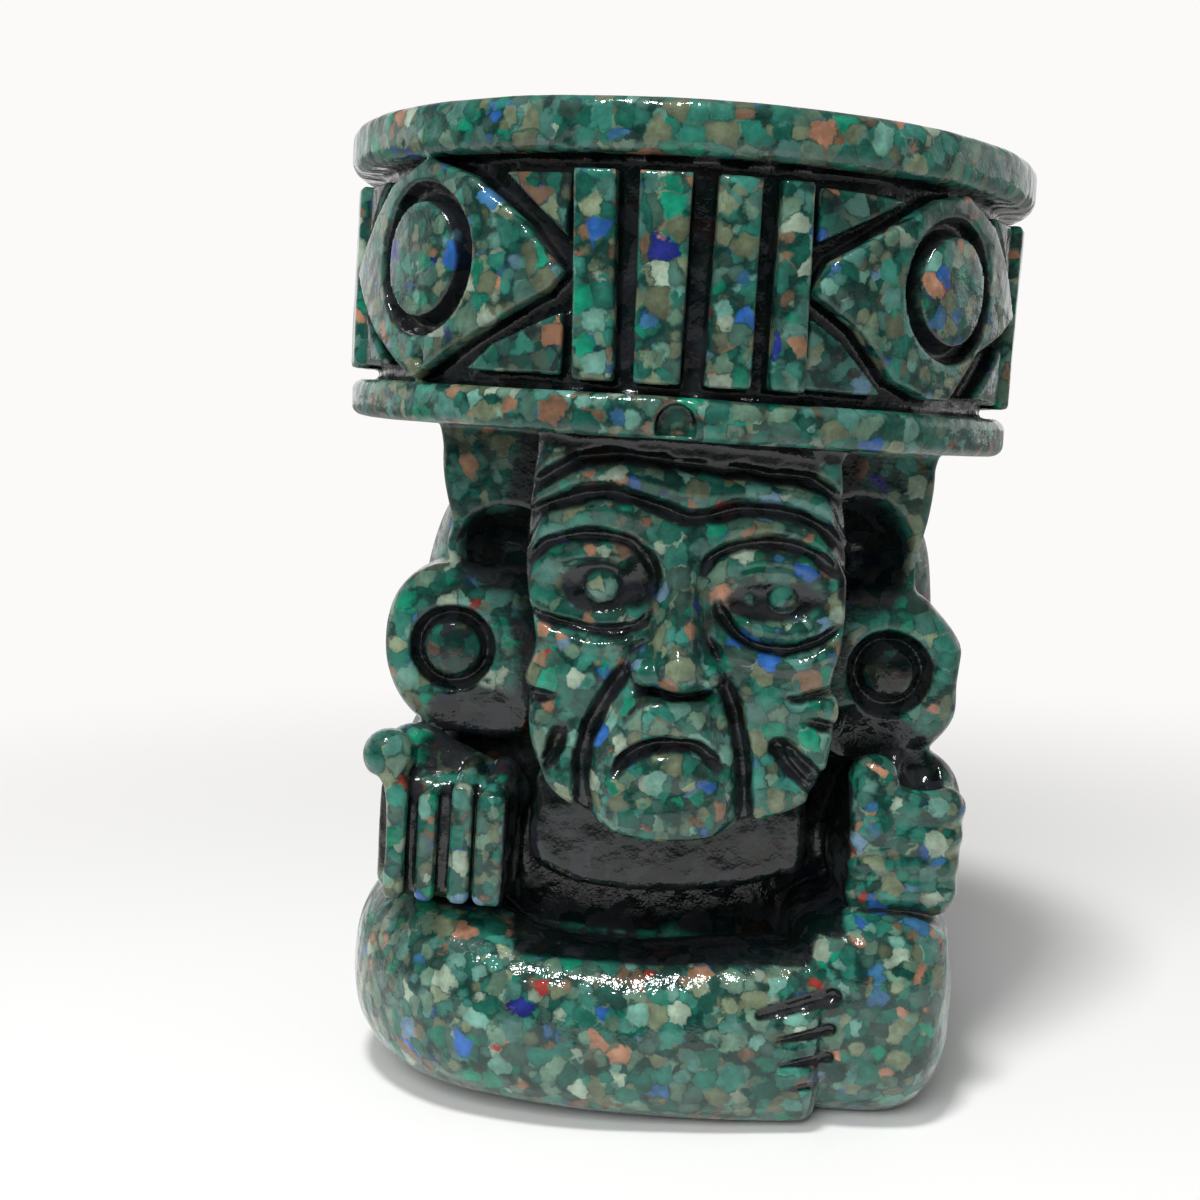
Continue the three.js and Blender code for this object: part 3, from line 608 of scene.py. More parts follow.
def carve_pits(body, radius, degrees, z):
    """Round-topped notch in the front of the foot and small pits left by bubbles."""
    across = np.radians(around(degrees - NOTCH["middle"])) * FOOT["radius"]
    out = (FOOT["radius"] - radius) / NOTCH["depth"]
    arch = np.hypot(across, np.maximum(z - NOTCH["high"] + NOTCH["half"], 0)) - NOTCH["half"]
    arch = np.maximum(arch, NOTCH["low"] - z)
    body = smooth_max(body, -np.maximum(arch, (out - 1) * NOTCH["depth"]), 0.2)
    for middle, height, size in PITS:
        skin = RIM["radius"] if height > 65 else FOOT["radius"]
        gap = np.hypot(np.radians(around(degrees - middle)) * skin, z - height)
        pit = np.hypot(gap, radius - skin) - size
        body = smooth_max(body, -pit, 0.15)
    return body


def face_sheet():
    """The carved face, drawn on the front of the head block."""
    face = Sheet((-14, 20), (14, 56), FACE_FRONT)
    face.height -= FACE_CURVE * face.u ** 2
    carve_forehead(face)
    carve_left_eye(face)
    carve_right_eye(face)
    carve_mouth(face)
    carve_nose(face)
    carve_cheeks(face)
    return face


def carve_forehead(face):
    face.groove([(-9.5, 51.4), (-4, 51.5), (3, 51.3), (9.2, 50.8)], 2.4, 0.8, 0.9)
    face.groove(FOREHEAD_LINE, 1.3, 1.0)
    face.groove(BROW_LINE, 1.35, 1.15)
    face.ridge([(-10.8, 47.7), (-8.6, 49.0), (-4.5, 49.4), (0, 48.5), (5, 48.9), (9.3, 48.3), (11, 46.8)], 1.5, 0.35)
    face.ridge([(-9.6, 46.2), (-6, 46.9), (-2.4, 46.1)], 1.6, 0.3)
    face.ridge([(2.6, 46.0), (6, 46.4), (9.6, 45.4)], 1.6, 0.3)


def carve_left_eye(face):
    face.swell((-6.2, 41.4), (5.2, 3.6), -1.0, power=1.0)
    face.swell((-3.3, 42.0), (1.9, 2.9), -0.9, turn=-12)
    face.darken(0.9 * smooth_step(-face.oval((-3.2, 42.0), (1.9, 2.8), -12), -1.05, -0.6))
    face.groove(LEFT_LID, 1.15, 0.9)
    face.ridge([(-10.0, 42.5), (-8.2, 43.4), (-5.6, 43.6), (-3.9, 42.8)], 1.7, 0.75)
    face.darken(0.85 * smooth_step(-face.oval((-6.1, 41.2), (3.1, 2.0)), -1.1, -0.8))
    face.swell((-6.1, 41.2), (3.2, 2.2), -0.5, power=1.0)
    face.dome((-6.0, 41.4), (1.3, 1.25), FACE_FRONT - 1.6, 0.75, blend=0.15)
    face.swell((-5.9, 41.6), (0.5, 0.45), -0.25)
    face.resin_and_painted_shade *= smooth_step(face.oval((-6.0, 41.4), (1.3, 1.25)), 0.75, 1.0)
    face.groove(LEFT_UNDERLID, 1.0, 0.8)
    face.ridge([(-10.8, 38.0), (-8.4, 37.3), (-6.0, 37.0), (-3.6, 37.4)], 1.3, 0.45)


def carve_right_eye(face):
    face.swell((6.4, 41.3), (5.2, 3.7), -0.8, power=1.0)
    face.groove(RIGHT_LID, 1.15, 0.9)
    face.ridge([(2.9, 42.8), (4.8, 43.7), (7.4, 43.8), (9.7, 42.8)], 1.7, 0.7)
    face.swell((6.5, 41.0), (3.8, 1.55), -0.7, turn=4, power=1.0)
    face.darken(0.9 * smooth_step(-face.oval((6.4, 41.0), (3.7, 1.5), 4), -1.1, -0.8))
    face.dome((7.2, 41.2), (1.1, 1.1), FACE_FRONT - 1.7, 0.9, blend=0.15)
    face.dome((4.7, 41.1), (0.5, 0.5), FACE_FRONT - 1.7, 0.6, blend=0.15)
    face.resin_and_painted_shade *= smooth_step(face.oval((7.2, 41.2), (1.1, 1.1)), 0.75, 1.0)
    face.resin_and_painted_shade *= smooth_step(face.oval((4.7, 41.1), (0.5, 0.5)), 0.5, 1.0)
    face.ridge([(3.8, 39.7), (5.6, 39.0), (7.8, 38.9), (9.4, 39.5)], 1.3, 0.5)
    face.groove(RIGHT_UNDERLID, 1.1, 0.95)
    face.ridge([(3.6, 37.2), (6.0, 36.4), (8.6, 36.4), (10.8, 37.6)], 1.4, 0.5)


def carve_nose(face):
    """Straight bridge that widens and rises to the tip, with two wings."""
    line = [(0.0, 45.0), (-0.1, 42.0), (-0.1, 39.0), (0.0, 35.8)]
    distance, place, run = line_distance(face.u, face.v, curve_through(line))
    share = place / run
    half = 1.15 + 1.15 * share ** 1.5
    top = FACE_FRONT + 0.3 + 3.2 * share ** 1.25
    ridge = top - (1.0 + 1.7 * share) * (distance / half) ** 2
    face.height = smooth_max(face.height, ridge, 0.5)
    face.dome((0.0, 35.9), (1.75, 1.6), FACE_FRONT + 1.4, 2.4, blend=0.5)
    face.dome((-2.2, 35.5), (1.25, 1.15), FACE_FRONT + 0.6, 1.7, blend=0.35)
    face.dome((2.1, 35.5), (1.15, 1.1), FACE_FRONT + 0.6, 1.7, blend=0.35)
    face.groove([(-3.1, 34.0), (-1.5, 34.0), (0, 33.8), (1.5, 34.0), (2.8, 34.2)], 0.9, 1.4, 0.6)
    face.groove([(-3.9, 36.3), (-3.2, 37.2), (-2.3, 37.6)], 0.6, 0.5, 0.7)
    face.groove([(3.0, 36.4), (2.4, 37.4), (1.7, 38.3)], 0.8, 0.7, 0.9)
    face.darken(0.6 * smooth_step(-face.oval((1.6, 38.8), (0.8, 2.2), -18), -1.1, -0.4))


def carve_mouth(face):
    """Raised field between two deep folds, with an arched mouth turned down at its ends."""
    gap = outline_distance(face.u, face.v, curve_through(MUZZLE, 4, closed=True))
    face.height += 1.5 * smooth_step(-gap, -0.3, 1.5)
    face.groove(LEFT_FOLD, 1.5, 1.2)
    face.groove(RIGHT_FOLD, 1.5, 1.3)
    face.swell((-0.8, 32.3), (3.2, 2.0), 0.75, power=1.2)
    face.groove(MOUTH, 1.35, 1.3)
    face.groove([(-3.9, 31.4), (-3.0, 33.0), (-1.4, 33.9)], 0.8, 0.4, 0.5)
    face.swell((-0.3, 28.3), (3.0, 1.4), 0.45, power=1.2)
    face.swell((-0.5, 25.4), (4.2, 2.4), 0.4)


def carve_cheeks(face):
    face.swell((-6.8, 34.6), (3.4, 3.0), 0.7)
    face.swell((7.2, 34.2), (3.4, 2.4), 0.45)
    face.groove([(-12.0, 32.9), (-10, 32.9), (-8.6, 33.1)], 1.0, 1.0)
    face.groove([(-8.3, 31.0), (-8.6, 29.4), (-9.4, 27.4)], 1.7, 1.2)
    face.groove([(7.2, 34.3), (8.6, 34.0), (10.4, 34.5), (12.2, 34.8)], 0.9, 0.9, 0.8)
    face.groove([(12.4, 31.7), (10.6, 32.2), (9.4, 32.4)], 1.0, 0.9)
    face.groove([(7.0, 30.9), (8.9, 29.2), (11.6, 26.8)], 2.2, 1.5, taper=0.8)
    face.ridge([(8.0, 30.3), (9.2, 29.0), (10.7, 27.6)], 0.9, 1.2)


def ear_sheet(ear, low, high):
    sheet = Sheet(low, high, EAR_FRONT)
    share = sheet.oval(ear["middle"], (1, 1))
    sheet.height -= 0.035 * np.maximum(share - 3.8, 0) ** 2
    ring_middle, ring_half = (ear["rim"] + ear["boss"]) / 2, (ear["rim"] - ear["boss"]) / 2
    sheet.height -= 1.5 * np.clip(1 - ((share - ring_middle) / ring_half) ** 2, 0, 1)
    sheet.height += 0.3 * np.clip(1 - ((share - ear["rim"] + 0.45) / 0.25) ** 2, 0, 1)
    sheet.height += 0.6 * np.clip(1 - (share / ear["boss"]) ** 2, 0, 1)
    sheet.darken(smooth_step(-np.abs(share - ring_middle), -ring_half - 0.1, -ring_half + 0.15))
    sheet.darken(ear["boss_veil"] * smooth_step(-share, -ear["boss"] - 0.1, -ear["boss"] + 0.1))
    below = sheet.oval(ear["pool"], (3.9, 2.4))
    sheet.height -= 0.8 * np.clip(1 - below ** 2, 0, 1)
    sheet.darken(smooth_step(-below, -1.25, -0.75))
    # Painted shade on the ear's side nearest the face.
    inner = np.abs(sheet.u) + np.zeros_like(sheet.height)
    sheet.darken(0.75 * smooth_step(-inner, -14.0, -11.6))
    return sheet


def cloth_sheet(side, hollow, radii):
    """Front of a hanging headcloth side with a deep hollow beside the face, with painted shade in the hollow and along
    the side nearest the face.
    """
    low, high = sorted((side * 9.0, side * 21.0))
    sheet = Sheet((low, 38), (high, 56), CLOTH_FRONT)
    sheet.swell(hollow, radii, -4.0, power=1.4)
    # Painted shade in the deep hollow.
    sheet.darken(smooth_step(-sheet.oval(hollow, radii), -1.3, -0.55))
    beside_face = np.abs(sheet.u) + np.zeros_like(sheet.height)
    # Painted shade along the side nearest the face.
    sheet.darken(0.8 * smooth_step(-beside_face, -14.4, -12.0))
    return sheet


def add_head(clay):
    clay.add(tower(TRUNK, TRUNK_POWER, 1.0), 0.5)
    slab(clay, LEFT_CLOTH, cloth_sheet(-1, (-13.9, 42.8), (4.2, 3.6)), CLOTH_BACK, 1.0)
    slab(clay, RIGHT_CLOTH, cloth_sheet(1, (13.6, 44.0), (4.4, 5.0)), CLOTH_BACK, 1.0)
    slab(clay, LEFT_EAR["outline"], ear_sheet(LEFT_EAR, (-25, 26), (-9, 43)), EAR_BACK, 1.8)
    slab(clay, RIGHT_EAR["outline"], ear_sheet(RIGHT_EAR, (9, 26), (24, 44)), EAR_BACK, 1.8)
    slab(clay, FACE_OUTLINE, face_sheet(), FACE_BACK, 1.1)


def add_collar(clay):
    sheet = Sheet((-13, 15), (13, 29), COLLAR_FRONT)
    sheet.height -= 0.01 * sheet.u ** 2
    sheet.darken(np.ones_like(sheet.height))
    slab(clay, COLLAR, sheet, COLLAR_BACK, 1.8)


def add_back(clay):
    """Rounded back with the headcloth hanging in four soft pleats."""
    for i in range(-2, 2):
        across = 4.3 * (i + 0.5)
        path = curve_through([(across, 12.3, 52), (across, 15.6, 46), (across, 17.9, 40), (across, 18.8, 32),
                              (across, 18.6, 27.6)], 2)
        for start, end in zip(path[:-1], path[1:]):
            clay.add(rod(start, end, 2.4, flat=0.75), 0.5)


def add_left_fist(clay):
    """Fist turned palm up: four fingers side by side and the ball of the thumb over them."""
    clay.add(rod((-17.8, -11, 20.4), (-18.2, 4, 23.6), 5.0), 1.2)
    clay.add(block((-22.4, -16.0, 15.3), (-11.7, -6, 25.2), 1.6), 0.8)
    clay.add(rod((-20.3, -12.6, 26.1), (-12.9, -11.6, 23.2), 2.4, 2.0), 0.6)
    fingers = ((-20.75, 0.8, 24.8), (-18.35, 0.75, 24.1), (-15.75, 0.8, 24.9), (-13.4, 1.15, 24.3))
    for x, half, top in fingers:
        clay.add(block((x - half, -17.3, 15.5), (x + half, -14.5, top), 0.6), 0.15)
        clay.add(rod((x, -16.2, top - 0.9), (x + 0.5, -13.0, top + 1.0), half), 0.15)
    for x, half, _ in fingers[1:]:
        clay.darken(block((x - half - 1.0, -16.6, 15.5), (x - half, -14.0, 24.6), 0.2), 0.35, 0.92)
    clay.add(ball((-21.75, -15.4, 26.5), (2.05, 2.1, 2.05)), 0.3)
    clay.add(rod((-21.5, -16.1, 25.4), (-20.9, -16.4, 22.6), 1.2, 0.75), 0.3)
    clay.cut(rod((-22.5, -16.4, 18.6), (-22.6, -16.2, 24.0), 1.05), 0.25)
    clay.darken(rod((-22.6, -15.8, 18.4), (-22.7, -15.8, 24.0), 1.0), 0.4)
    # Painted shade in the gap between the top of the fist and the ear.
    clay.darken(block((-19.4, -14.6, 25.0), (-11.0, -6, 27.6), 0.6), 1.0, 0.75)
    # Painted shade down the fist's inner side, next to the chest.
    clay.darken(block((-12.6, -17, 15.5), (-11.2, -6, 25.0), 0.2), 0.5, 0.85)


def add_right_fist(clay):
    """Upright fist: the fingers lie one over another and the hand keeps a hole for a staff."""
    clay.add(rod((17.8, -11, 20.4), (18.2, 4, 23.6), 5.0), 1.2)
    clay.add(block((13.9, -16.7, 16.9), (22.6, -6, 26.9), 1.7), 0.8)
    clay.add(ball((18.7, -11.6, 25.4), (4.1, 3.3, 3.9)), 0.6)
    for z, radius in ((25.5, 1.35), (23.15, 1.3), (21.0, 1.15), (18.9, 1.2)):
        clay.add(rod((15.2, -16.1, z - 0.2), (21.2, -16.0, z + 0.2), radius + 0.1, radius), 0.6)
    clay.add(rod((15.8, -16.4, 23.8), (15.5, -15.4, 27.3), 1.65, 1.95), 0.35)
    clay.cut(ball((19.3, -14.6, 28.6), (2.0, 2.1, 2.4)), 0.35)
    clay.darken(ball((19.3, -14.6, 28.5), (2.05, 2.2, 2.4)), 0.35)
    # Painted shade down the fist's inner side, next to the chest.
    clay.darken(block((13.0, -16.0, 16.5), (14.6, -6, 24.0), 0.3), 1.0, 0.8)


def add_legs(clay):
    clay.add(tower(HIPS, HIPS_POWER, 1.0), 0.8)
    clay.add(tower(KNEE, KNEE_POWER, 1.6), 0.3)
    clay.add(shin(), 0.3)
    for (x0, z0), (x1, z1), width, depth in TOE_GROOVES:
        clay.cut(rod((x0, -21.6 - width / 2, z0), (x1, -20.9, z1), width / 2, width / 2 + 0.15, flat=1.6), 0.25)
        clay.darken(rod((x0, -21.0, z0), (x1, -20.4, z1), width / 2), 0.35)
    line = curve_through(FOOT_LINE, 4)
    for start, end in zip(line[:-1], line[1:]):
        clay.cut(rod(start, end, 0.34, flat=1.5), 0.2)
        clay.darken(rod(start, end, 0.3), 0.3)


def paint_shade_in_deep_places(clay):
    """Painted shade: black laid into the deep places between the legs, fists, face, ears and headcloth, and under the
    brazier, where shade falls.
    """
    clay.darken(block((-11.2, -19, 12.6), (11.6, -8, 18.6), 1.0), 0.8)
    clay.darken(block((-12.2, -21.0, 16.0), (-10.6, -6, 25.0), 0.3), 0.6)
    clay.darken(block((11.2, -21.0, 16.0), (13.6, -6, 27.0), 0.3), 0.6)
    clay.darken(block((-24, -12.6, 26.5), (-10.8, -6, 28.2), 0.5), 0.8)
    clay.darken(block((11.4, -12.8, 25.0), (24, -6, 28.4), 0.5), 0.8)
    clay.darken(block((-13.3, -21, 41.5), (-11.5, -6, 52.4), 0.3), 0.6, 0.95)
    clay.darken(block((11.2, -21, 41.5), (12.6, -6, 52.4), 0.3), 0.6, 0.95)
    clay.darken(block((-11.4, -21.6, 51.4), (11.0, -6, 52.6), 0.2), 0.4)


def ripple(clay, spacing, size, seed):
    """Small hand-made unevenness of a given spacing, laid over the whole surface."""
    clay.field += size * smooth_noise(clay.axes, spacing, seed)


def grind_underside(clay):
    x, z = clay.axes[0][:, None, None], clay.axes[2][None, None, :]
    ground = x * math.sin(LEAN) - z * math.cos(LEAN)
    clay.field = smooth_max(clay.field, ground, 0.8).astype(np.float32)


def sculpt():
    clay = Clay()
    add_legs(clay)
    add_head(clay)
    add_back(clay)
    add_collar(clay)
    add_left_fist(clay)
    add_right_fist(clay)
    add_brazier(clay)
    paint_shade_in_deep_places(clay)
    ripple(clay, 7.0, 0.14, SEED)
    ripple(clay, 1.7, 0.07, SEED + 1)
    grind_underside(clay)
    return clay


def blurred(table, radius):
    """Mean of a grid over cubes of a given radius."""
    reach = max(1, round(radius / STEP))
    for axis in range(3):
        padded = np.pad(table, [(reach + 1, reach) if i == axis else (0, 0) for i in range(3)], mode="edge")
        sums = np.cumsum(padded, axis=axis, dtype=np.float32)
        size = table.shape[axis]
        ahead = np.take(sums, np.arange(2 * reach + 1, 2 * reach + 1 + size), axis=axis)
        behind = np.take(sums, np.arange(size), axis=axis)
        table = (ahead - behind) / (2 * reach + 1)
    return table


def sampled(table, places):
    """Reads a grid at given places, between its points."""
    spots = np.clip(places, 0, np.array(table.shape) - 1.001)
    base = spots.astype(int)
    part = (spots - base).astype(np.float32)
    total = np.zeros(len(places), np.float32)
    for corner in np.ndindex(2, 2, 2):
        index = base + np.array(corner)
        weight = np.prod(np.where(corner, part, 1 - part), axis=1)
        total += weight * table[index[:, 0], index[:, 1], index[:, 2]]
    return total


def skin_mesh(clay):
    """Surface of the clay as a mesh in grid steps, thinned to what one piece may hold."""
    grid = openvdb.FloatGrid(FAR)
    grid.copyFromArray(clay.field)
    points, quads = grid.convertToQuads(0.0)
    quads = quads[:, ::-1]
    mesh = bpy.data.meshes.new("fire_god_casting")
    mesh.vertices.add(len(points))
    mesh.vertices.foreach_set("co", points.astype(np.float32).ravel())
    mesh.loops.add(4 * len(quads))
    mesh.loops.foreach_set("vertex_index", quads.astype(np.int32).ravel())
    mesh.polygons.add(len(quads))
    mesh.polygons.foreach_set("loop_start", np.arange(0, 4 * len(quads), 4, dtype=np.int32))
    mesh.update(calc_edges=True)
    mesh.validate()
    figure = bpy.data.objects.new("fire_god_casting", mesh)
    bpy.context.scene.collection.objects.link(figure)
    thin = figure.modifiers.new("thin", "DECIMATE")
    thin.ratio = min(1.0, MOST_TRIANGLES / (2 * len(quads)))
    finished = bpy.data.meshes.new_from_object(figure.evaluated_get(bpy.context.evaluated_depsgraph_get()))
    figure.modifiers.clear()
    figure.data = finished
    bpy.data.meshes.remove(mesh)
    return figure


def corner_places(mesh):
    places = np.zeros(3 * len(mesh.vertices), np.float32)
    mesh.vertices.foreach_get("co", places)
    return places.reshape(-1, 3)


def store_resin_and_painted_shade(clay, mesh):
    """Keeps the share of dark resin and painted shade at each corner of the mesh: pooled resin, painted shade in deep
    places, and painted shade in tight creases and broad hollows.
    """
    places = corner_places(mesh)
    solid = (clay.field < 0).astype(np.float32)
    tight = sampled(blurred(blurred(solid, 0.7), 0.5), places)
    broad = sampled(blurred(blurred(solid, 2.2), 1.2), places)
    pooled_resin_and_shade = sampled(clay.resin_and_painted_shade, places)
    # Painted shade: corners closely enclosed by solid clay, in tight creases and broad hollows, are darkened as if
    # shaded.
    painted_crease_shade = smooth_step(tight, 0.62, 0.74)
    painted_hollow_shade = smooth_step(broad, 0.66, 0.82)
    share = np.maximum(pooled_resin_and_shade, np.maximum(painted_crease_shade, painted_hollow_shade))
    attribute = mesh.attributes.new("resin_and_painted_shade", "FLOAT", "POINT")
    attribute.data.foreach_set("value", share.astype(np.float32))


def stand_up(clay, mesh):
    """Grid steps to millimetres, then the lean, the frame's origin and metres."""
    low = Matrix.Translation([float(axis[0]) for axis in clay.axes])
    leaned = Matrix.Rotation(LEAN, 4, "Y")
    placed = Matrix.Translation((ORIGIN[0], ORIGIN[1], 0))
    mesh.transform(Matrix.Scale(METRE, 4) @ placed @ leaned @ low @ Matrix.Scale(STEP, 4))


def linear(colour):
    """Screen colour from 0 to 255 as the linear values that a shader takes."""
    return tuple((c / 255 / 12.92) if c <= 10 else ((c / 255 + 0.055) / 1.055) ** 2.4 for c in colour) + (1.0,)


# Colours of the crushed stone and the share of the chips that have each
CHIP_COLOURS = (
    (0.13, (34, 98, 84)),
    (0.10, (22, 78, 66)),
    (0.06, (18, 116, 90)),
    (0.10, (48, 112, 98)),
    (0.08, (66, 112, 102)),
    (0.08, (58, 90, 80)),
    (0.08, (88, 118, 100)),
    (0.07, (92, 102, 80)),
    (0.06, (94, 140, 126)),
    (0.05, (114, 128, 102)),
    (0.035, (134, 152, 134)),
    (0.035, (40, 64, 56)),
    (0.022, (152, 112, 88)),
    (0.02, (128, 98, 76)),
    (0.02, (108, 88, 70)),
    (0.02, (52, 98, 134)),
    (0.01, (38, 86, 150)),
    (0.012, (90, 122, 142)),
    (0.006, (34, 44, 116)),
    (0.004, (132, 44, 36)),
)
TOP_CHIP = 1.5
BED_CHIP = 1.05
BACKDROP = (0.965, 0.955, 0.94, 1)
# Near-black of the resin, also laid as painted shade in creases, hollows and deep places; the dull one shows in random
# patches.
RESIN_AND_SHADE_COLOUR = (6, 11, 12)
DULL_RESIN_AND_SHADE_COLOUR = (30, 31, 35)
DEEP_COLOUR = (10, 48, 42)


class Nodes:
    """Short way to build a node tree: each call makes a node and links or sets its inputs."""

    def __init__(self, tree):
        self.tree = tree

    def add(self, kind, inputs=(), **settings):
        node = self.tree.nodes.new(kind)
        for name, value in settings.items():
            setattr(node, name, value)
        for name, value in dict(inputs).items():
            socket = node.inputs[name]
            if isinstance(value, bpy.types.NodeSocket):
                self.tree.links.new(value, socket)
            else:
                socket.default_value = value
        return node

    def group(self, tree, inputs):
        """Places a node group with its own values and gives its outputs."""
        node = self.tree.nodes.new("ShaderNodeGroup")
        node.node_tree = tree
        for name, value in inputs.items():
            if isinstance(value, bpy.types.NodeSocket):
                self.tree.links.new(value, node.inputs[name])
            else:
                node.inputs[name].default_value = value
        return node.outputs

    def math(self, operation, first, second=0.0, clamp=False):
        node = self.add("ShaderNodeMath", {0: first, 1: second}, operation=operation, use_clamp=clamp)
        return node.outputs[0]

    def mix(self, share, first, second, kind="MIX"):
        node = self.add("ShaderNodeMix", data_type="RGBA", blend_type=kind)
        for index, value in ((0, share), (6, first), (7, second)):
            if isinstance(value, bpy.types.NodeSocket):
                self.tree.links.new(value, node.inputs[index])
            else:
                node.inputs[index].default_value = value
        return node.outputs[2]

    def span(self, value, low, high, to_low=0.0, to_high=1.0):
        inputs = {"Value": value, "From Min": low, "From Max": high, "To Min": to_low, "To Max": to_high}
        return self.add("ShaderNodeMapRange", inputs, interpolation_type="SMOOTHSTEP").outputs[0]


def chips_group():
    """One layer of crushed stone: each cell is a chip with its own colour and a random draw."""
    group = bpy.data.node_groups.new("crushed_stone_chips", "ShaderNodeTree")
    interface = group.interface
    interface.new_socket("Place", in_out="INPUT", socket_type="NodeSocketVector")
    interface.new_socket("Chip Size", in_out="INPUT", socket_type="NodeSocketFloat")
    interface.new_socket("Colour", in_out="OUTPUT", socket_type="NodeSocketColor")
    interface.new_socket("Draw", in_out="OUTPUT", socket_type="NodeSocketFloat")
    interface.new_socket("Roundness", in_out="OUTPUT", socket_type="NodeSocketFloat")
    nodes = Nodes(group)
    given = nodes.add("NodeGroupInput").outputs
    scale = nodes.math("DIVIDE", 1.0, given["Chip Size"])
    cell = nodes.add("ShaderNodeTexVoronoi", {"Vector": given["Place"], "Scale": scale})
    draw = nodes.add("ShaderNodeSeparateColor", {"Color": cell.outputs["Color"]}).outputs
    ramp = nodes.add("ShaderNodeValToRGB", {"Fac": draw[0]})
    fill_palette(ramp.color_ramp)
    roundness = nodes.math("SUBTRACT", 1.0, cell.outputs["Distance"])
    light = nodes.math("ADD", nodes.math("MULTIPLY", draw[1], 0.5), nodes.math("MULTIPLY", roundness, 0.5))
    light = nodes.math("ADD", light, 0.45)
    colour = nodes.add("ShaderNodeVectorMath", {0: ramp.outputs["Color"], "Scale": light}, operation="SCALE").outputs[0]
    result = nodes.add("NodeGroupOutput")
    for name, value in (("Colour", colour), ("Draw", draw[2]), ("Roundness", roundness)):
        group.links.new(value, result.inputs[name])
    return group


def fill_palette(ramp):
    """Fills a colour ramp with one flat band for each chip colour."""
    ramp.interpolation = "CONSTANT"
    total = sum(share for share, _ in CHIP_COLOURS)
    start = 0.0
    for i, (share, colour) in enumerate(CHIP_COLOURS):
        stop = ramp.elements[i] if i < 2 else ramp.elements.new(start)
        stop.position = start
        stop.color = linear(colour)
        start += share / total


def crushed_stone():
    """Stone chips in two depths under dark resin and painted shade, and a clear glossy coat."""
    material = bpy.data.materials.new("crushed_stone")
    material.use_nodes = True
    material.node_tree.nodes.clear()
    nodes = Nodes(material.node_tree)
    spot = nodes.add("ShaderNodeTexCoord").outputs["Object"]
    place = nodes.add("ShaderNodeMapping", {"Vector": spot, "Scale": (1000, 1000, 1000)}).outputs[0]
    cloud = nodes.add("ShaderNodeTexNoise", {"Vector": place, "Scale": 0.9, "Detail": 3.0, "Roughness": 0.62}).outputs
    centred = nodes.add("ShaderNodeVectorMath", {0: cloud["Color"], 1: (0.5, 0.5, 0.5)}, operation="SUBTRACT").outputs[0]
    drift = nodes.add("ShaderNodeVectorMath", {0: centred, "Scale": 1.1}, operation="SCALE").outputs[0]
    warped = nodes.add("ShaderNodeVectorMath", {0: place, 1: drift}, operation="ADD").outputs[0]
    group = chips_group()
    top = nodes.group(group, {"Place": warped, "Chip Size": TOP_CHIP})
    bed = nodes.group(group, {"Place": warped, "Chip Size": BED_CHIP})
    edge = nodes.add("ShaderNodeTexVoronoi", {"Vector": warped, "Scale": 1 / TOP_CHIP}, feature="DISTANCE_TO_EDGE")
    shown = nodes.math("LESS_THAN", top["Draw"], 0.62)
    rim = nodes.span(edge.outputs["Distance"], 0.0, 0.09, 0.25, 1.0)
    chip = nodes.math("MULTIPLY", shown, rim)
    sunk = nodes.mix(nodes.span(bed["Roundness"], 0.28, 0.55, 0.1, 0.8), linear(DEEP_COLOUR), bed["Colour"])
    stone = nodes.mix(chip, sunk, top["Colour"])
    mottle = nodes.span(cloud["Fac"], 0.3, 0.7, 0.7, 1.2)
    stone = nodes.add("ShaderNodeVectorMath", {0: stone, "Scale": mottle}, operation="SCALE").outputs[0]
    # Painted shade with the real resin: the stored share turns the stone near-black in creases, hollows and deep
    # places.
    pooled_resin_and_shade = nodes.add("ShaderNodeAttribute", attribute_name="resin_and_painted_shade").outputs["Fac"]
    loose = nodes.math("ADD", nodes.math("MULTIPLY", top["Draw"], 0.3), nodes.math("MULTIPLY", cloud["Fac"], 0.7))
    veil = nodes.span(nodes.math("ADD", pooled_resin_and_shade, nodes.math("SUBTRACT", loose, 0.5)), 0.15, 0.8)
    patches = nodes.span(nodes.math("ADD", cloud["Fac"], top["Draw"]), 0.9, 1.3)
    resin_and_painted_shade = nodes.mix(patches, linear(RESIN_AND_SHADE_COLOUR), linear(DULL_RESIN_AND_SHADE_COLOUR))
    colour = nodes.mix(nodes.math("MULTIPLY", veil, 0.97), stone, resin_and_painted_shade)
    wave = nodes.add("ShaderNodeTexNoise", {"Vector": place, "Scale": 0.4, "Detail": 1.0}).outputs["Fac"]
    relief = nodes.math("ADD", nodes.math("MULTIPLY", wave, 3.0), cloud["Fac"])
    bump = nodes.add("ShaderNodeBump", {"Height": relief, "Strength": 0.6, "Distance": 0.0002}).outputs[0]
    shader = nodes.add("ShaderNodeBsdfPrincipled", {
        "Base Color": colour,
        "Roughness": 0.4,
        "IOR": 1.45,
        "Specular IOR Level": 0.1,
        "Coat Weight": 1.0,
        "Coat Roughness": 0.04,
        "Coat IOR": 1.5,
        "Normal": bump,
        "Coat Normal": bump,
    })
    nodes.add("ShaderNodeOutputMaterial", {"Surface": shader.outputs[0]})
    return material


def make_casting():
    clay = sculpt()
    figure = skin_mesh(clay)
    store_resin_and_painted_shade(clay, figure.data)
    stand_up(clay, figure.data)
    figure.data.shade_smooth()
    figure.data.materials.clear()
    figure.data.materials.append(crushed_stone())
    return figure


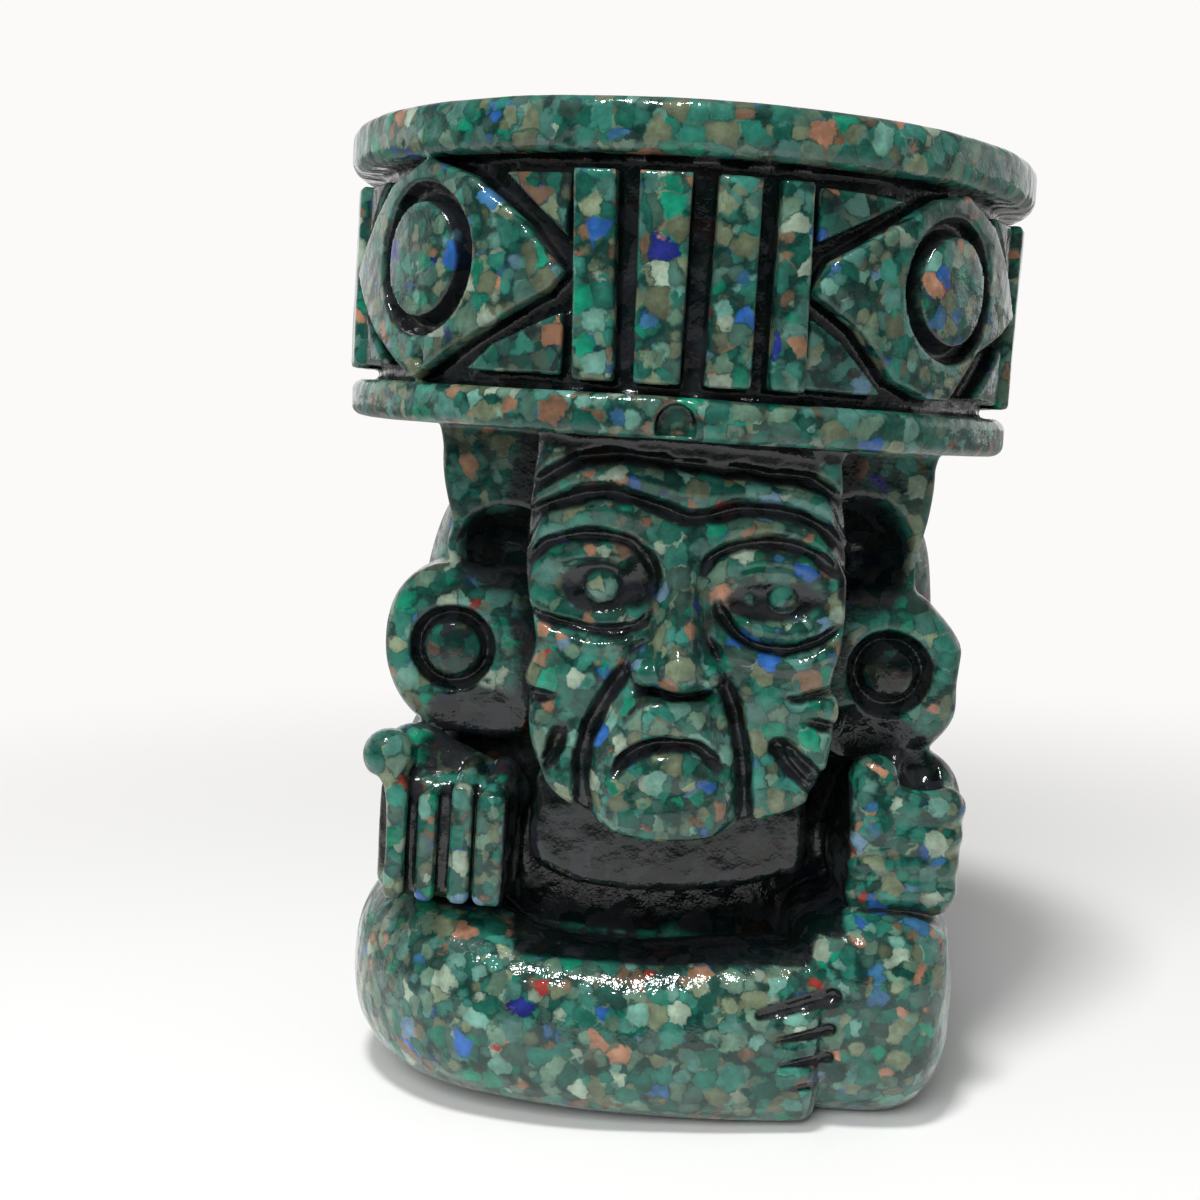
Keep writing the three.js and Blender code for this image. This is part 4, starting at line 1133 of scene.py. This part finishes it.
def pale_floor_material():
    """Matt white near the figure that glows evenly white further away, like a lit backdrop."""
    material = bpy.data.materials.new("pale_floor")
    material.use_nodes = True
    material.node_tree.nodes.clear()
    nodes = Nodes(material.node_tree)
    spot = nodes.add("ShaderNodeTexCoord").outputs["Object"]
    distance = nodes.add("ShaderNodeVectorMath", {0: spot}, operation="LENGTH").outputs["Value"]
    far = nodes.span(distance, 0.045, 0.2)
    paper = nodes.add("ShaderNodeBsdfDiffuse", {"Color": (0.9, 0.895, 0.885, 1)}).outputs[0]
    straight = nodes.add("ShaderNodeLightPath").outputs["Is Camera Ray"]
    strength = nodes.math("ADD", nodes.math("MULTIPLY", straight, 0.7), 0.3)
    glow = nodes.add("ShaderNodeEmission", {"Color": BACKDROP, "Strength": strength}).outputs[0]
    blend = nodes.add("ShaderNodeMixShader", {0: far, 1: paper, 2: glow}).outputs[0]
    nodes.add("ShaderNodeOutputMaterial", {"Surface": blend})
    return material


def make_floor():
    half = 6.0
    mesh = bpy.data.meshes.new("floor")
    corners = [(-half, -half, 0), (half, -half, 0), (half, half, 0), (-half, half, 0)]
    mesh.from_pydata(corners, [], [(0, 1, 2, 3)])
    mesh.materials.append(pale_floor_material())
    floor = bpy.data.objects.new("floor", mesh)
    bpy.context.scene.collection.objects.link(floor)
    return floor


def make_light(name, place, target, size, power, mirrored=True):
    """Soft square light that looks at a target; a light that isn't mirrored leaves no gloss."""
    light = bpy.data.lights.new(name, "AREA")
    light.size = size
    light.energy = power
    lamp = bpy.data.objects.new(name, light)
    lamp.location = place
    lamp.rotation_euler = (Vector(target) - Vector(place)).to_track_quat("-Z", "Y").to_euler()
    lamp.visible_glossy = mirrored
    bpy.context.scene.collection.objects.link(lamp)


def make_surroundings():
    """White studio behind and beside the figure, dim above, and dark where the photographer stands."""
    world = bpy.data.worlds.new("studio")
    world.use_nodes = True
    world.node_tree.nodes.clear()
    nodes = Nodes(world.node_tree)
    direction = nodes.add("ShaderNodeTexCoord").outputs["Generated"]
    axes = nodes.add("ShaderNodeSeparateXYZ", {0: direction}).outputs
    front = nodes.span(nodes.math("SUBTRACT", 0.0, axes["Y"]), -0.3, 0.35)
    above = nodes.span(axes["Z"], 0.2, 0.6)
    sides = nodes.mix(front, (0.9, 0.9, 0.9, 1), (0.02, 0.02, 0.025, 1))
    lit = nodes.mix(above, sides, (0.2, 0.2, 0.2, 1))
    straight = nodes.add("ShaderNodeLightPath").outputs["Is Camera Ray"]
    colour = nodes.mix(straight, lit, BACKDROP)
    sky = nodes.add("ShaderNodeBackground", {"Color": colour, "Strength": 1.0})
    nodes.add("ShaderNodeOutputWorld", {"Surface": sky.outputs[0]})
    bpy.context.scene.world = world


def make_camera():
    camera = bpy.data.cameras.new("camera")
    camera.lens = 49.5
    camera.sensor_width = 36
    camera.clip_start = 0.005
    viewer = bpy.data.objects.new("camera", camera)
    viewer.location = (0.34578 * METRE, -138.41232 * METRE, 54.45298 * METRE)
    viewer.rotation_euler = [math.radians(angle) for angle in (83.36424, 0.01414, 2.40928)]
    bpy.context.scene.collection.objects.link(viewer)
    bpy.context.scene.camera = viewer


def main():
    casting = make_casting()
    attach(casting, "root")
    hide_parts("fire_god_figure")
    make_floor()
    make_light("overhead", (-0.05, -0.16, 0.45), (0, 0, 0.03), 0.07, 1.3)
    make_light("front_fill", (-0.12, -0.42, 0.3), (0, 0, 0.03), 0.3, 1.9, mirrored=False)
    make_surroundings()
    make_camera()
    bpy.context.scene.view_settings.view_transform = "Standard"


main()
